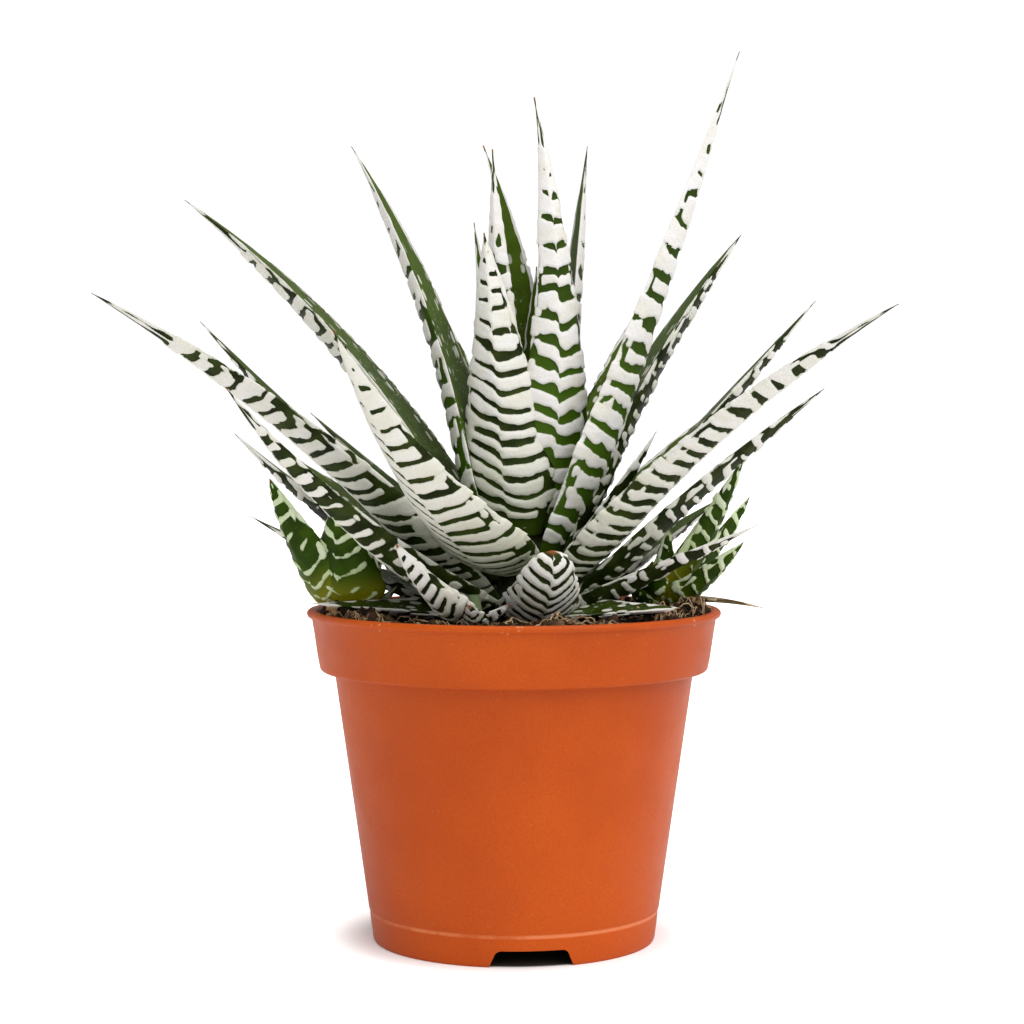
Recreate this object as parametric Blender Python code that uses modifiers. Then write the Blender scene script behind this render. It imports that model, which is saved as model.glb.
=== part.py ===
# Potted haworthia: a banded rosette with three small offsets, in an 8.5 cm nursery pot.
# The origin is under the middle of the pot, at the height of its foot. +Z is up, -Y is the front.
# An azimuth is in degrees: 0 is the front, 90 the right, 180 the back.
import math
from typing import NamedTuple

import bmesh
import bpy
from mathutils import Matrix, Vector
from mathutils.bvhtree import BVHTree

MM = 0.001

# Pot
POT_HEIGHT = 68.0 * MM
LIP_RADIUS = 42.5 * MM
LIP_HEIGHT = 1.4 * MM
LIP_ROUND = 0.42 * MM
BAND_TOP_RADIUS = 41.5 * MM
BAND_FOOT_RADIUS = 39.9 * MM
BAND_HEIGHT = 12.4 * MM
BAND_CORNER = 0.8 * MM
BODY_TOP_RADIUS = 36.9 * MM
FOOT_RADIUS = 29.0 * MM
WALL = 1.1 * MM
FLOOR_UNDERSIDE = 3.6 * MM
FLOOR_THICKNESS = 1.2 * MM
POT_SIDES = 42
NOTCH_COUNT = 3
NOTCH_FOOT_WIDTH = 16.6 * MM
NOTCH_TOP_WIDTH = 14.0 * MM
NOTCH_HEIGHT = 3.4 * MM
NOTCH_AZIMUTH = 7.0
NOTCH_BLOCK_DEPTH = 6.0 * MM
DRAIN_COUNT = 6
DRAIN_RADIUS = 2.6 * MM
DRAIN_CIRCLE = 17.0 * MM
HOLE_SIDES = 16

# Soil and stem
GAP = 0.3 * MM
PRESS_MARGIN = 0.1 * MM
SOIL_LEVEL = 65.2 * MM
SOIL_SIDES = 26
SOIL_ROUGHNESS = 0.25 * MM
SOIL_RINGS = (0.3, 0.5, 0.68, 0.84)
PLANT_BASE = 66.0 * MM
STEM_X = 2.5 * MM
STEM_FOOT = 50.0 * MM
STEM_TOP = 88.0 * MM
STEM_BASE_RADIUS = 7.5 * MM
STEM_TOP_RADIUS = 2.4 * MM
STEM_SIDES = 20

# Leaf form, as shares of the half width or of the length
LEAF_NECK = 0.58
LEAF_BELLY = 0.22
KEEL_AT_ROOT = 0.52
KEEL_GAIN = 0.28
CHANNEL_AT_ROOT = -0.12
CHANNEL_GAIN = 0.2
SHOULDER_WIDTH = 0.62
SHOULDER_DEPTH = 0.7
SECTION_CENTRE = 0.45
TIP_HALF_WIDTH = 0.5 * MM
BAND_PITCH = 8.5 * MM
BACK_BAND_PITCH = 11.5 * MM
BAND_RELIEF = 0.4 * MM
FULL_RELIEF_HALF_WIDTH = 2.5 * MM


class Leaf(NamedTuple):
    """Angles in degrees, lengths in millimetres.

    Tilt is the lean from upright at the root, curl is what it gains by the tip, sway is what the
    azimuth gains, and roll turns the blade about its own length. Rise is above the plant's base.
    Taper is how the width falls towards the tip: 1 is straight, less is fuller, more is slimmer.
    """
    name: str
    azimuth: float
    root: float
    rise: float
    tilt: float
    curl: float
    sway: float
    length: float
    width: float
    roll: float
    taper: float


LEAVES = [
    Leaf("leaf_heart_6", 150, 150, 22.6, 2, 6, 0, 50, 8.0, 0, 0.97),
    Leaf("leaf_heart_1", -70, -40, 17.0, 4.5, 3, 0, 62, 19.5, 60, 0.95),
    Leaf("leaf_heart_2", 65, 62, 19.0, 9.5, -21, 0, 88, 15.0, -50, 1.15),
    Leaf("leaf_heart_3", -70, -85, 20.0, 3, 0, 0, 76, 10.0, 50, 1.0),
    Leaf("leaf_heart_4", -95, 180, 19.5, -7, 27, 0, 79, 10.0, -70, 0.97),
    Leaf("leaf_heart_5", -140, -140, 17.5, 10, 3, 0, 66, 11.0, 0, 0.97),
    Leaf("leaf_inner_1", 106, 106, 13.5, 3.5, 4.5, 0, 84, 13.0, 0, 0.85),
    Leaf("leaf_inner_2", -102, -100, 12.0, 8, 25, 0, 92, 18.5, -5, 0.95),
    Leaf("leaf_inner_3", 75, 60, 13.5, 23, -3, 0, 108, 17.0, -4, 1.15),
    Leaf("leaf_inner_4", 109, 100, 11.5, 21, 22, 0, 81, 18.0, -5, 0.8),
    Leaf("leaf_middle_1", -101.5, -92, 11.0, 27, 29.5, 0, 103, 20.0, 0, 0.9),
    Leaf("leaf_middle_2", -27, -20, 12.0, 72, -35, -11, 79, 20.5, 0, 1.05),
    Leaf("leaf_middle_3", 80, 70, 9.5, 38, -3, 0, 36, 13.0, 0, 0.97),
    Leaf("leaf_middle_4", 92, 92, 7.0, 41, 3, 0, 79, 15.0, 0, 0.9),
    Leaf("leaf_middle_5", -111, -112, 8.0, 51, 1, 0, 55, 12.0, 0, 0.97),
    Leaf("leaf_outer_1", 60, 55, 6.5, 41, 24, 0, 94, 15.5, 0, 0.88),
    Leaf("leaf_outer_2", -67, -66, 3.5, 42, 23, 0, 104, 19.0, 0, 0.88),
    Leaf("leaf_outer_3", -103, -106, 4.0, 50, -4, 0, 86, 14.0, 0, 0.9),
    Leaf("leaf_outer_4", 84, 84, 3.0, 45, 11, 0, 69.5, 15.0, 0, 0.85),
    Leaf("leaf_outer_5", -54, -46, 2.5, 67, -24, 0, 78, 15.0, 0, 0.9),
    Leaf("leaf_outer_6", -90, -88, 2.5, 62, -12, 0, 63.5, 14.5, 0, 0.85),
    Leaf("leaf_outer_7", 68, 58, 2.5, 66, 3, 0, 46, 12.0, 0, 0.9),
    Leaf("leaf_outer_8", 12, 8, 3.2, 83, -51, 0, 23.5, 17.0, 0, 0.42),
    Leaf("leaf_low_1", -62, -74, 2.9, 88, -1, 0, 40, 9.0, -20, 0.85),
    Leaf("leaf_low_2", 48, 34, 2.9, 88, -1, 0, 34.5, 9.0, 20, 0.75),
    Leaf("leaf_back_1", 168, 164, 15.0, 16, 8, 0, 70, 14.0, 0, 0.97),
    Leaf("leaf_back_2", -160, -158, 12.0, 38, 8, 0, 70, 15.0, 0, 0.97),
    Leaf("leaf_back_3", 150, 146, 11.5, 39, 4, 0, 78, 15.0, 0, 0.97),
    Leaf("leaf_back_4", -172, -176, 9.0, 38, 6, 0, 82, 16.0, 0, 0.97),
    Leaf("leaf_back_5", -138, -138, 8.0, 48, 4, 0, 80, 15.0, 0, 0.97),
    Leaf("leaf_back_6", 136, 134, 7.5, 56, 2, 0, 66, 15.0, 0, 0.97),
    Leaf("leaf_back_7", 161, 162, 4.5, 60, -6, 0, 65.5, 15.0, 0, 0.97),
    Leaf("leaf_back_8", -168, -166, 4.0, 61, -6, 0, 63, 16.0, 0, 0.97),
    Leaf("leaf_back_9", -125, -126, 3.0, 61, 3, 0, 72, 14.0, 0, 0.97),
    Leaf("leaf_back_10", 122, 120, 3.0, 64, 0, 0, 50, 13.0, 0, 0.97),
    Leaf("leaf_back_11", -146, -146, 2.4, 68, -6, 0, 68, 14.0, 0, 0.97),
    Leaf("leaf_back_12", 142, 142, 2.2, 79, -6, 0, 46, 12.0, 0, 0.97),
    Leaf("leaf_back_13", -106, -106, 2.4, 78, -13, 0, 57, 13.0, 0, 0.97),
    Leaf("leaf_back_14", 111, 110, 7.6, 43, 21.5, 0, 96.5, 10.5, 0, 0.97),
]


class Offset(NamedTuple):
    """A small side rosette: x and y in millimetres, then its leaves."""
    name: str
    x: float
    y: float
    leaves: list


OFFSET_STEM_RADIUS = 2.4 * MM
OFFSET_STEM_TOP = 72.5 * MM
OFFSET_STEM_FOOT = 58.0 * MM
OFFSET_TAPER = 0.75
OFFSETS = [
    Offset("offset_left", -32.0, -6.0, [
        Leaf("", -80, -80, 2.8, 39, -13, 0, 31, 15.5, 30, OFFSET_TAPER),
        Leaf("", -24, -24, 3.0, 26, -22, 0, 24, 16.5, 0, OFFSET_TAPER),
        Leaf("", -105, -105, 2.6, 50, -10, 0, 17, 8.0, 20, OFFSET_TAPER),
        Leaf("", 35, 35, 2.2, 42, -20, 0, 14, 7.5, 0, OFFSET_TAPER),
        Leaf("", 100, 100, 2.2, 62, -10, 0, 9, 7.0, 0, OFFSET_TAPER),
        Leaf("", 165, 165, 2.5, 44, -8, 0, 14, 9.0, 0, OFFSET_TAPER),
        Leaf("", -60, -60, 5.0, 10, 0, 0, 16, 7.0, 0, OFFSET_TAPER),
    ]),
    Offset("offset_right", 30.0, 8.0, [
        Leaf("", 80, 80, 3.2, 33, -6, 0, 34, 10.0, -35, OFFSET_TAPER),
        Leaf("", 104, 104, 3.0, 46, -8, 0, 29, 11.0, -35, OFFSET_TAPER),
        Leaf("", 60, 60, 2.6, 62, -14, 0, 23, 9.5, -20, OFFSET_TAPER),
        Leaf("", -10, -10, 3.0, 46, -6, 0, 12, 8.0, 0, OFFSET_TAPER),
        Leaf("", -50, -50, 2.5, 62, -10, 0, 9, 7.0, 0, OFFSET_TAPER),
        Leaf("", 165, 165, 2.5, 50, -8, 0, 13, 8.5, 0, OFFSET_TAPER),
        Leaf("", 30, 30, 5.0, 14, 0, 0, 14, 6.5, 0, OFFSET_TAPER),
        Leaf("", 92, 92, 3.6, 84, 24, 0, 22, 4.5, 0, OFFSET_TAPER),
    ]),
    Offset("offset_front", -8.0, -22.5, [
        Leaf("", -66, -66, 2.6, 55, -16, 0, 21, 11.5, 12, OFFSET_TAPER),
        Leaf("", 60, 60, 2.0, 74, -14, 0, 8, 5.5, 0, OFFSET_TAPER),
        Leaf("", -5, -5, 2.2, 72, -12, 0, 7, 5.5, 0, OFFSET_TAPER),
    ]),
]
OFFSET_BAND_PITCH = 6.0 * MM
OFFSET_STEM_SIDES = 10
OFFSET_ROOT_REACH = 0.9 * MM

PLASTIC = ("terracotta_plastic", (0.58, 0.10, 0.025), 0.42)
SOIL = ("dark_soil", (0.035, 0.02, 0.012), 0.95)
STEM = ("pale_stem", (0.28, 0.33, 0.12), 0.6)
LEAF = ("banded_leaf", (0.12, 0.2, 0.07), 0.5)
YOUNG_LEAF = ("young_leaf", (0.2, 0.32, 0.05), 0.5)


def clear_scene():
    for item in list(bpy.data.objects):
        bpy.data.objects.remove(item, do_unlink=True)


def make_material(name, color, roughness):
    material = bpy.data.materials.get(name) or bpy.data.materials.new(name)
    material.use_nodes = True
    shader = material.node_tree.nodes["Principled BSDF"]
    shader.inputs["Base Color"].default_value = (*color, 1.0)
    shader.inputs["Roughness"].default_value = roughness
    shader.inputs["Metallic"].default_value = 0.0
    return material


def add_object(name, mesh, collection):
    item = bpy.data.objects.new(name, mesh)
    collection.objects.link(item)
    return item


def finish(item, material, sharp_degrees=35.0):
    item.data.materials.clear()
    item.data.materials.append(make_material(*material))
    item.data.shade_smooth()
    item.data.set_sharp_from_angle(angle=math.radians(sharp_degrees))


def direction(azimuth, reach=1.0):
    angle = math.radians(azimuth)
    return Vector((math.sin(angle) * reach, -math.cos(angle) * reach, 0.0))


def evaluated_mesh(item):
    bpy.context.view_layer.update()
    depsgraph = bpy.context.evaluated_depsgraph_get()
    return bpy.data.meshes.new_from_object(item.evaluated_get(depsgraph))


def turned(name, profile, sides, collection):
    """A profile of (radius, height) points turned about Z, applied."""
    mesh = bpy.data.meshes.new(name)
    points = [(radius, 0.0, height) for radius, height in profile]
    mesh.from_pydata(points, [(i, i + 1) for i in range(len(points) - 1)], [])
    item = add_object(name, mesh, collection)
    screw = item.modifiers.new("Turn", "SCREW")
    screw.axis = "Z"
    screw.steps = sides
    screw.render_steps = sides
    screw.use_merge_vertices = True
    screw.merge_threshold = 0.00001
    solid = evaluated_mesh(item)
    item.modifiers.clear()
    item.data = solid
    return item


def cut(item, cutters):
    """Take each cutter out of the item, and leave the result as a plain mesh."""
    for number, cutter in enumerate(cutters):
        modifier = item.modifiers.new(f"Cut {number}", "BOOLEAN")
        modifier.operation = "DIFFERENCE"
        modifier.solver = "EXACT"
        modifier.object = cutter
    solid = evaluated_mesh(item)
    item.modifiers.clear()
    item.data = solid


def add_cutter(name, build, collection):
    work = bmesh.new()
    build(work)
    mesh = bpy.data.meshes.new(name)
    work.to_mesh(mesh)
    work.free()
    cutter = add_object(name, mesh, collection)
    cutter.hide_render = True
    cutter.display_type = "WIRE"
    return cutter


def add_cylinder_cutter(name, radius, low, high, place, collection):
    def build(work):
        bmesh.ops.create_cone(work, cap_ends=True, segments=HOLE_SIDES, radius1=radius, radius2=radius,
                              depth=high - low,
                              matrix=Matrix.Translation((place.x, place.y, (low + high) / 2)))
    return add_cutter(name, build, collection)


def add_notch_cutter(number, collection):
    """A slanted-sided block across the foot wall."""
    azimuth = NOTCH_AZIMUTH + number * 360.0 / NOTCH_COUNT
    below = 1.0 * MM
    spread = (NOTCH_FOOT_WIDTH - NOTCH_TOP_WIDTH) / NOTCH_HEIGHT
    foot_width = NOTCH_FOOT_WIDTH + below * spread

    def build(work):
        bmesh.ops.create_cube(work, size=1.0)
        for vert in work.verts:
            width = NOTCH_TOP_WIDTH if vert.co.z > 0 else foot_width
            vert.co.x *= width
            vert.co.y *= NOTCH_BLOCK_DEPTH
            vert.co.z = NOTCH_HEIGHT if vert.co.z > 0 else -below
        bmesh.ops.translate(work, verts=work.verts, vec=(0, -(FOOT_RADIUS - WALL / 2), 0))
        bmesh.ops.rotate(work, verts=work.verts, matrix=Matrix.Rotation(math.radians(azimuth), 3, "Z"))
    return add_cutter(f"notch_cutter_{number}", build, collection)


def band_foot_height():
    return POT_HEIGHT - BAND_HEIGHT


def build_pot(parts, cutters):
    """The moulded pot: tapered body, raised floor, deep band and a rolled lip."""
    band_foot = band_foot_height()
    lip_foot = POT_HEIGHT - LIP_HEIGHT
    floor_top = FLOOR_UNDERSIDE + FLOOR_THICKNESS
    profile = [
        (0.0, floor_top),
        (inner_radius(floor_top), floor_top),
        (BODY_TOP_RADIUS - WALL, band_foot + WALL),
        (BAND_FOOT_RADIUS - WALL, band_foot + WALL),
        (BAND_TOP_RADIUS - WALL, POT_HEIGHT - LIP_ROUND),
        (BAND_TOP_RADIUS - WALL + LIP_ROUND, POT_HEIGHT),
        (LIP_RADIUS - LIP_ROUND, POT_HEIGHT),
        (LIP_RADIUS, POT_HEIGHT - LIP_ROUND),
        (LIP_RADIUS, lip_foot + LIP_ROUND),
        (LIP_RADIUS - LIP_ROUND, lip_foot),
        (BAND_TOP_RADIUS, lip_foot - LIP_ROUND),
        (BAND_FOOT_RADIUS, band_foot + BAND_CORNER),
        (BAND_FOOT_RADIUS - BAND_CORNER, band_foot),
        (BODY_TOP_RADIUS, band_foot),
        (FOOT_RADIUS, 0.0),
        (FOOT_RADIUS - WALL, 0.0),
        (FOOT_RADIUS - WALL, FLOOR_UNDERSIDE),
        (0.0, FLOOR_UNDERSIDE),
    ]
    pot = turned("pot", profile, POT_SIDES, parts)
    tools = [add_notch_cutter(number, cutters) for number in range(NOTCH_COUNT)]
    for number in range(DRAIN_COUNT):
        place = direction(number * 360.0 / DRAIN_COUNT, DRAIN_CIRCLE)
        tools.append(add_cylinder_cutter(f"drain_cutter_{number}", DRAIN_RADIUS, FLOOR_UNDERSIDE - MM,
                                         floor_top + MM, place, cutters))
    cut(pot, tools)
    finish(pot, PLASTIC, 28.0)


def inner_radius(height):
    """The radius inside the tapered body at a height."""
    share = height / band_foot_height()
    return FOOT_RADIUS + (BODY_TOP_RADIUS - FOOT_RADIUS) * share - WALL


def soil_height(x, y):
    """The uneven top of the soil."""
    wave = math.sin(x * 310.0 + 0.7) * math.cos(y * 270.0) + 0.6 * math.sin(x * 520.0 - y * 610.0)
    return SOIL_LEVEL + SOIL_ROUGHNESS * wave


def build_soil(parts, cutters):
    """The soil fills the pot to just under its lip, with a plain hole for each stem."""
    bottom = FLOOR_UNDERSIDE + FLOOR_THICKNESS + GAP
    ledge = band_foot_height() + WALL + GAP
    top_radius = BAND_FOOT_RADIUS + 0.5 * (BAND_TOP_RADIUS - BAND_FOOT_RADIUS) - WALL - GAP
    profile = [(0.0, SOIL_LEVEL)]
    profile += [(top_radius * share, SOIL_LEVEL) for share in SOIL_RINGS]
    profile += [
        (top_radius, SOIL_LEVEL),
        (BAND_FOOT_RADIUS - WALL - GAP, ledge),
        (BODY_TOP_RADIUS - WALL - GAP, ledge),
        (inner_radius(bottom) - GAP, bottom),
        (0.0, bottom),
    ]
    soil = turned("soil", profile, SOIL_SIDES, parts)
    for vert in soil.data.vertices:
        if vert.co.z > SOIL_LEVEL - 0.1 * MM:
            vert.co.z = soil_height(vert.co.x, vert.co.y)
    holes = [("stem_hole_cutter", STEM_BASE_RADIUS, STEM_FOOT, Vector((STEM_X, 0.0, 0.0)))]
    for offset in OFFSETS:
        place = Vector((offset.x, offset.y, 0.0)) * MM
        holes.append((f"{offset.name}_hole_cutter", OFFSET_STEM_RADIUS, OFFSET_STEM_FOOT, place))
    tools = [add_cylinder_cutter(name, radius + GAP, foot - GAP, POT_HEIGHT, place, cutters)
             for name, radius, foot, place in holes]
    cut(soil, tools)
    finish(soil, SOIL)


def stem_radius(height):
    share = (height - PLANT_BASE) / (STEM_TOP - PLANT_BASE)
    share = min(max(share, 0.0), 1.0)
    return STEM_BASE_RADIUS + (STEM_TOP_RADIUS - STEM_BASE_RADIUS) * share


def turned_stem(name, grow, collection):
    profile = [
        (0.0, STEM_TOP + grow),
        (STEM_TOP_RADIUS + grow, STEM_TOP + grow),
        (STEM_BASE_RADIUS + grow, PLANT_BASE),
        (STEM_BASE_RADIUS + grow, STEM_FOOT - grow),
        (0.0, STEM_FOOT - grow),
    ]
    stem = turned(name, profile, STEM_SIDES, collection)
    for vert in stem.data.vertices:
        vert.co.x += STEM_X
    return stem


def build_stem(parts):
    """The short stem that carries the main rosette."""
    finish(turned_stem("stem", 0.0, parts), STEM)


def add_stem_cutter(cutters):
    """The room that the stem needs among the leaf bases."""
    cutter = turned_stem("stem_cutter", GAP, cutters)
    cutter.hide_render = True
    cutter.display_type = "WIRE"
    return cutter


def blade_axes(leaf, share):
    """Along, across and towards the inner face, at a share of the leaf's length."""
    tilt = math.radians(leaf.tilt + leaf.curl * share)
    turn = leaf.azimuth + leaf.sway * share
    outward = direction(turn)
    across = direction(turn + 90.0)
    along = outward * math.sin(tilt) + Vector((0, 0, math.cos(tilt)))
    inward = Vector((0, 0, math.sin(tilt))) - outward * math.cos(tilt)
    roll = math.radians(leaf.roll)
    side = across * math.cos(roll) + inward * math.sin(roll)
    face = inward * math.cos(roll) - across * math.sin(roll)
    return along, side, face


def half_width(leaf, share):
    """Narrower at the root, widest at the belly, then tapering to the tip."""
    if share < LEAF_BELLY:
        swell = math.sin(math.pi / 2 * share / LEAF_BELLY)
        form = LEAF_NECK + (1.0 - LEAF_NECK) * swell
    else:
        form = ((1.0 - share) / (1.0 - LEAF_BELLY)) ** leaf.taper
    return max(TIP_HALF_WIDTH, leaf.width * MM / 2 * form)


def blade_section(half, share, ridge, grow):
    """Six points: two margins, a shallow channel inside and a keeled back outside."""
    keel = half * (KEEL_AT_ROOT + KEEL_GAIN * share)
    channel = half * (CHANNEL_AT_ROOT + CHANNEL_GAIN * share)
    points = [
        (-half, 0.0),
        (0.0, channel),
        (half, 0.0),
        (half * SHOULDER_WIDTH, -keel * SHOULDER_DEPTH - ridge),
        (0.0, -keel - ridge),
        (-half * SHOULDER_WIDTH, -keel * SHOULDER_DEPTH - ridge),
    ]
    grown = []
    for across, out in points:
        away = Vector((across, out + keel * SECTION_CENTRE))
        grown.append(Vector((across, out)) + away.normalized() * grow)
    return grown


def leaf_mesh(leaf, root, pitch=BAND_PITCH, relief=BAND_RELIEF, grow=0.0):
    """Loft a blade from its root to its tip, with a low ridge across its back at each band."""
    bands = max(2, round(leaf.length * MM / pitch))
    steps = 2 * bands
    step = leaf.length * MM / steps
    work = bmesh.new()
    place = root.copy()
    rings = []
    for number in range(steps + 1):
        share = number / steps
        along, side, face = blade_axes(leaf, share)
        half = half_width(leaf, share)
        ridged = number % 2 == 1 and 1 < number < steps
        ridge = relief * min(1.0, half / FULL_RELIEF_HALF_WIDTH) if ridged else 0.0
        if grow and number in (0, steps):
            place -= along * grow if number == 0 else -along * grow
        section = blade_section(half, share, ridge, grow)
        rings.append([work.verts.new(place + side * p.x + face * p.y) for p in section])
        if grow and number == 0:
            place += along * grow
        place += blade_axes(leaf, share + 0.5 / steps)[0] * step
    for lower, upper in zip(rings, rings[1:]):
        for i in range(len(lower)):
            j = (i + 1) % len(lower)
            work.faces.new((lower[j], lower[i], upper[i], upper[j]))
    work.faces.new(rings[0])
    work.faces.new(list(reversed(rings[-1])))
    bmesh.ops.triangulate(work, faces=work.faces)
    mesh = bpy.data.meshes.new(leaf.name or "blade")
    work.to_mesh(mesh)
    work.free()
    return mesh


def main_root(leaf):
    """Where a leaf of the main rosette meets the stem's side, or its top for the youngest."""
    height = PLANT_BASE + leaf.rise * MM
    reach = stem_radius(height) + GAP if height < STEM_TOP else 0.0
    return Vector((STEM_X, 0.0, height)) + direction(leaf.root, reach)


def largest_body(item):
    """Keep the largest loose body of an item's mesh."""
    work = bmesh.new()
    work.from_mesh(item.data)
    left = set(work.verts)
    bodies = []
    while left:
        body = {left.pop()}
        front = list(body)
        while front:
            vert = front.pop()
            for edge in vert.link_edges:
                other = edge.other_vert(vert)
                if other in left:
                    left.remove(other)
                    body.add(other)
                    front.append(other)
        bodies.append(body)
    bodies.sort(key=len)
    scraps = [vert for body in bodies[:-1] for vert in body]
    bmesh.ops.delete(work, geom=scraps, context="VERTS")
    work.to_mesh(item.data)
    work.free()


def press_against(item, neighbours):
    """Hollow a leaf's base where an inner neighbour lies against it."""
    tree = BVHTree.FromPolygons([v.co for v in item.data.vertices],
                                [p.vertices for p in item.data.polygons])
    touching = []
    for neighbour in neighbours:
        other = BVHTree.FromPolygons([v.co for v in neighbour.data.vertices],
                                     [p.vertices for p in neighbour.data.polygons])
        if tree.overlap(other):
            touching.append(neighbour)
    if touching:
        cut(item, touching)
        largest_body(item)


def build_leaves(parts, cutters):
    """Leaves are laid from the heart outwards, each pressed by those inside it."""
    from_heart = sorted(LEAVES, key=lambda leaf: -leaf.rise)
    laid = [add_stem_cutter(cutters)]
    for leaf in from_heart:
        pitch = BACK_BAND_PITCH if "back" in leaf.name else BAND_PITCH
        blade = add_object(leaf.name, leaf_mesh(leaf, main_root(leaf), pitch), parts)
        press_against(blade, laid)
        finish(blade, LEAF, 50.0)
        room = GAP + BAND_RELIEF + PRESS_MARGIN
        shape = leaf_mesh(leaf, main_root(leaf), pitch, relief=0.0, grow=room)
        cutter = add_object(f"{leaf.name}_cutter", shape, cutters)
        cutter.hide_render = True
        cutter.display_type = "WIRE"
        laid.append(cutter)


def build_offset(offset, parts):
    """A side rosette: its leaves are rooted in its stem and fused with it."""
    centre = Vector((offset.x, offset.y, 0.0)) * MM
    profile = [
        (0.0, OFFSET_STEM_TOP),
        (OFFSET_STEM_RADIUS * 0.5, OFFSET_STEM_TOP),
        (OFFSET_STEM_RADIUS, PLANT_BASE),
        (OFFSET_STEM_RADIUS, OFFSET_STEM_FOOT),
        (0.0, OFFSET_STEM_FOOT),
    ]
    rosette = turned(offset.name, profile, OFFSET_STEM_SIDES, parts)
    for vert in rosette.data.vertices:
        vert.co += centre
    blades = bpy.data.collections.new(f"{offset.name}_blades")
    bpy.context.scene.collection.children.link(blades)
    for number, leaf in enumerate(offset.leaves):
        root = centre + Vector((0, 0, PLANT_BASE + leaf.rise * MM))
        root += direction(leaf.root, OFFSET_ROOT_REACH)
        add_object(f"{offset.name}_blade_{number}",
                   leaf_mesh(leaf, root, pitch=OFFSET_BAND_PITCH), blades)
    union = rosette.modifiers.new("Fuse leaves", "BOOLEAN")
    union.operation = "UNION"
    union.operand_type = "COLLECTION"
    union.solver = "EXACT"
    union.collection = blades
    solid = evaluated_mesh(rosette)
    rosette.modifiers.clear()
    rosette.data = solid
    for blade in list(blades.objects):
        bpy.data.objects.remove(blade, do_unlink=True)
    bpy.data.collections.remove(blades)
    finish(rosette, YOUNG_LEAF, 50.0)


def main():
    clear_scene()
    parts = bpy.data.collections.new("potted_haworthia")
    cutters = bpy.data.collections.new("cutters")
    bpy.context.scene.collection.children.link(parts)
    bpy.context.scene.collection.children.link(cutters)
    build_pot(parts, cutters)
    build_soil(parts, cutters)
    build_stem(parts)
    build_leaves(parts, cutters)
    for offset in OFFSETS:
        build_offset(offset, parts)


main()
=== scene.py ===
import math

import bmesh
import bpy
import numpy as np
from mathutils import Matrix, Vector


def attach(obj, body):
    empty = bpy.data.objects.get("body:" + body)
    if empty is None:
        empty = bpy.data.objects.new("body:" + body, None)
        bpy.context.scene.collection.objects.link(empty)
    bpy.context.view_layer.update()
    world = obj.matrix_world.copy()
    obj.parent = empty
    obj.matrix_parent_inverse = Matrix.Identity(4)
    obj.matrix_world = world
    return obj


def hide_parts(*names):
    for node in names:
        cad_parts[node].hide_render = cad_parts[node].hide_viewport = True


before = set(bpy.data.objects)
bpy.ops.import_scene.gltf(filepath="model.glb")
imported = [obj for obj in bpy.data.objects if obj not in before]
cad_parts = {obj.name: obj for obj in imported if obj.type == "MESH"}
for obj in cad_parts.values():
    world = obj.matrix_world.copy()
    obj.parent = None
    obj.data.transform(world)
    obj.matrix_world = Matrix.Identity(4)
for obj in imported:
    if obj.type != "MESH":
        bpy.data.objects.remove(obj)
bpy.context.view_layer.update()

# Potted haworthia. Lengths are in metres unless a name or a note says mm. +Z is up, -Y is the front.
mm = 0.001
uvSpan = 200.0  # mm of leaf that one unit of its UV map spans
potSeamHeight = 6.2  # mm, the mould line above the pot's foot
weldDistance = 0.00001
print("frame loaded:", len(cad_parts), "nodes")


def smoothStep(low, high, value):
    share = np.clip((value - low) / (high - low), 0.0, 1.0)
    return share * share * (3.0 - 2.0 * share)


def softMin(a, b, rounding):
    # the lower of two distances, with its corner rounded
    mixed = np.clip(0.5 + 0.5 * (b - a) / rounding, 0.0, 1.0)
    return b * (1.0 - mixed) + a * mixed - rounding * mixed * (1.0 - mixed)


def softMax(a, b, rounding):
    return -softMin(-a, -b, rounding)


def valueNoise(seed, x, y):
    # smooth seeded noise from -1 to 1, on a lattice of one unit
    lattice = np.random.default_rng(seed).uniform(-1.0, 1.0, (64, 64))
    column, row = np.floor(x).astype(int), np.floor(y).astype(int)
    dx, dy = x - column, y - row
    dx, dy = dx * dx * (3 - 2 * dx), dy * dy * (3 - 2 * dy)
    west, east = column % 64, (column + 1) % 64
    south, north = row % 64, (row + 1) % 64
    low = lattice[west, south] * (1 - dx) + lattice[east, south] * dx
    high = lattice[west, north] * (1 - dx) + lattice[east, north] * dx
    return low * (1 - dy) + high * dy


def linkObject(name, mesh):
    item = bpy.data.objects.new(name, mesh)
    bpy.context.scene.collection.objects.link(item)
    return item


def readPoints(mesh):
    points = np.empty(len(mesh.vertices) * 3)
    mesh.vertices.foreach_get("co", points)
    return points.reshape(-1, 3)


def writeLayer(mesh, name, values):
    layer = mesh.attributes.new(name, "FLOAT", "POINT")
    layer.data.foreach_set("value", np.asarray(values, dtype=np.float32))


def meshFrom(work, name, smooth=True):
    mesh = bpy.data.meshes.new(name)
    work.to_mesh(mesh)
    work.free()
    if smooth:
        mesh.shade_smooth()
    return mesh


def lathe(profile, steps):
    # a closed turned shell, from radius and height pairs in mm
    work = bmesh.new()
    points = [work.verts.new((radius * mm, 0, height * mm)) for radius, height in profile]
    for first, second in zip(points, points[1:]):
        work.edges.new((first, second))
    bmesh.ops.spin(work, geom=work.verts[:] + work.edges[:], cent=(0, 0, 0), axis=(0, 0, 1),
                   angle=2 * math.pi, steps=steps, use_merge=True)
    bmesh.ops.remove_doubles(work, verts=work.verts, dist=weldDistance)
    bmesh.ops.recalc_face_normals(work, faces=work.faces)
    return work


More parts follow.
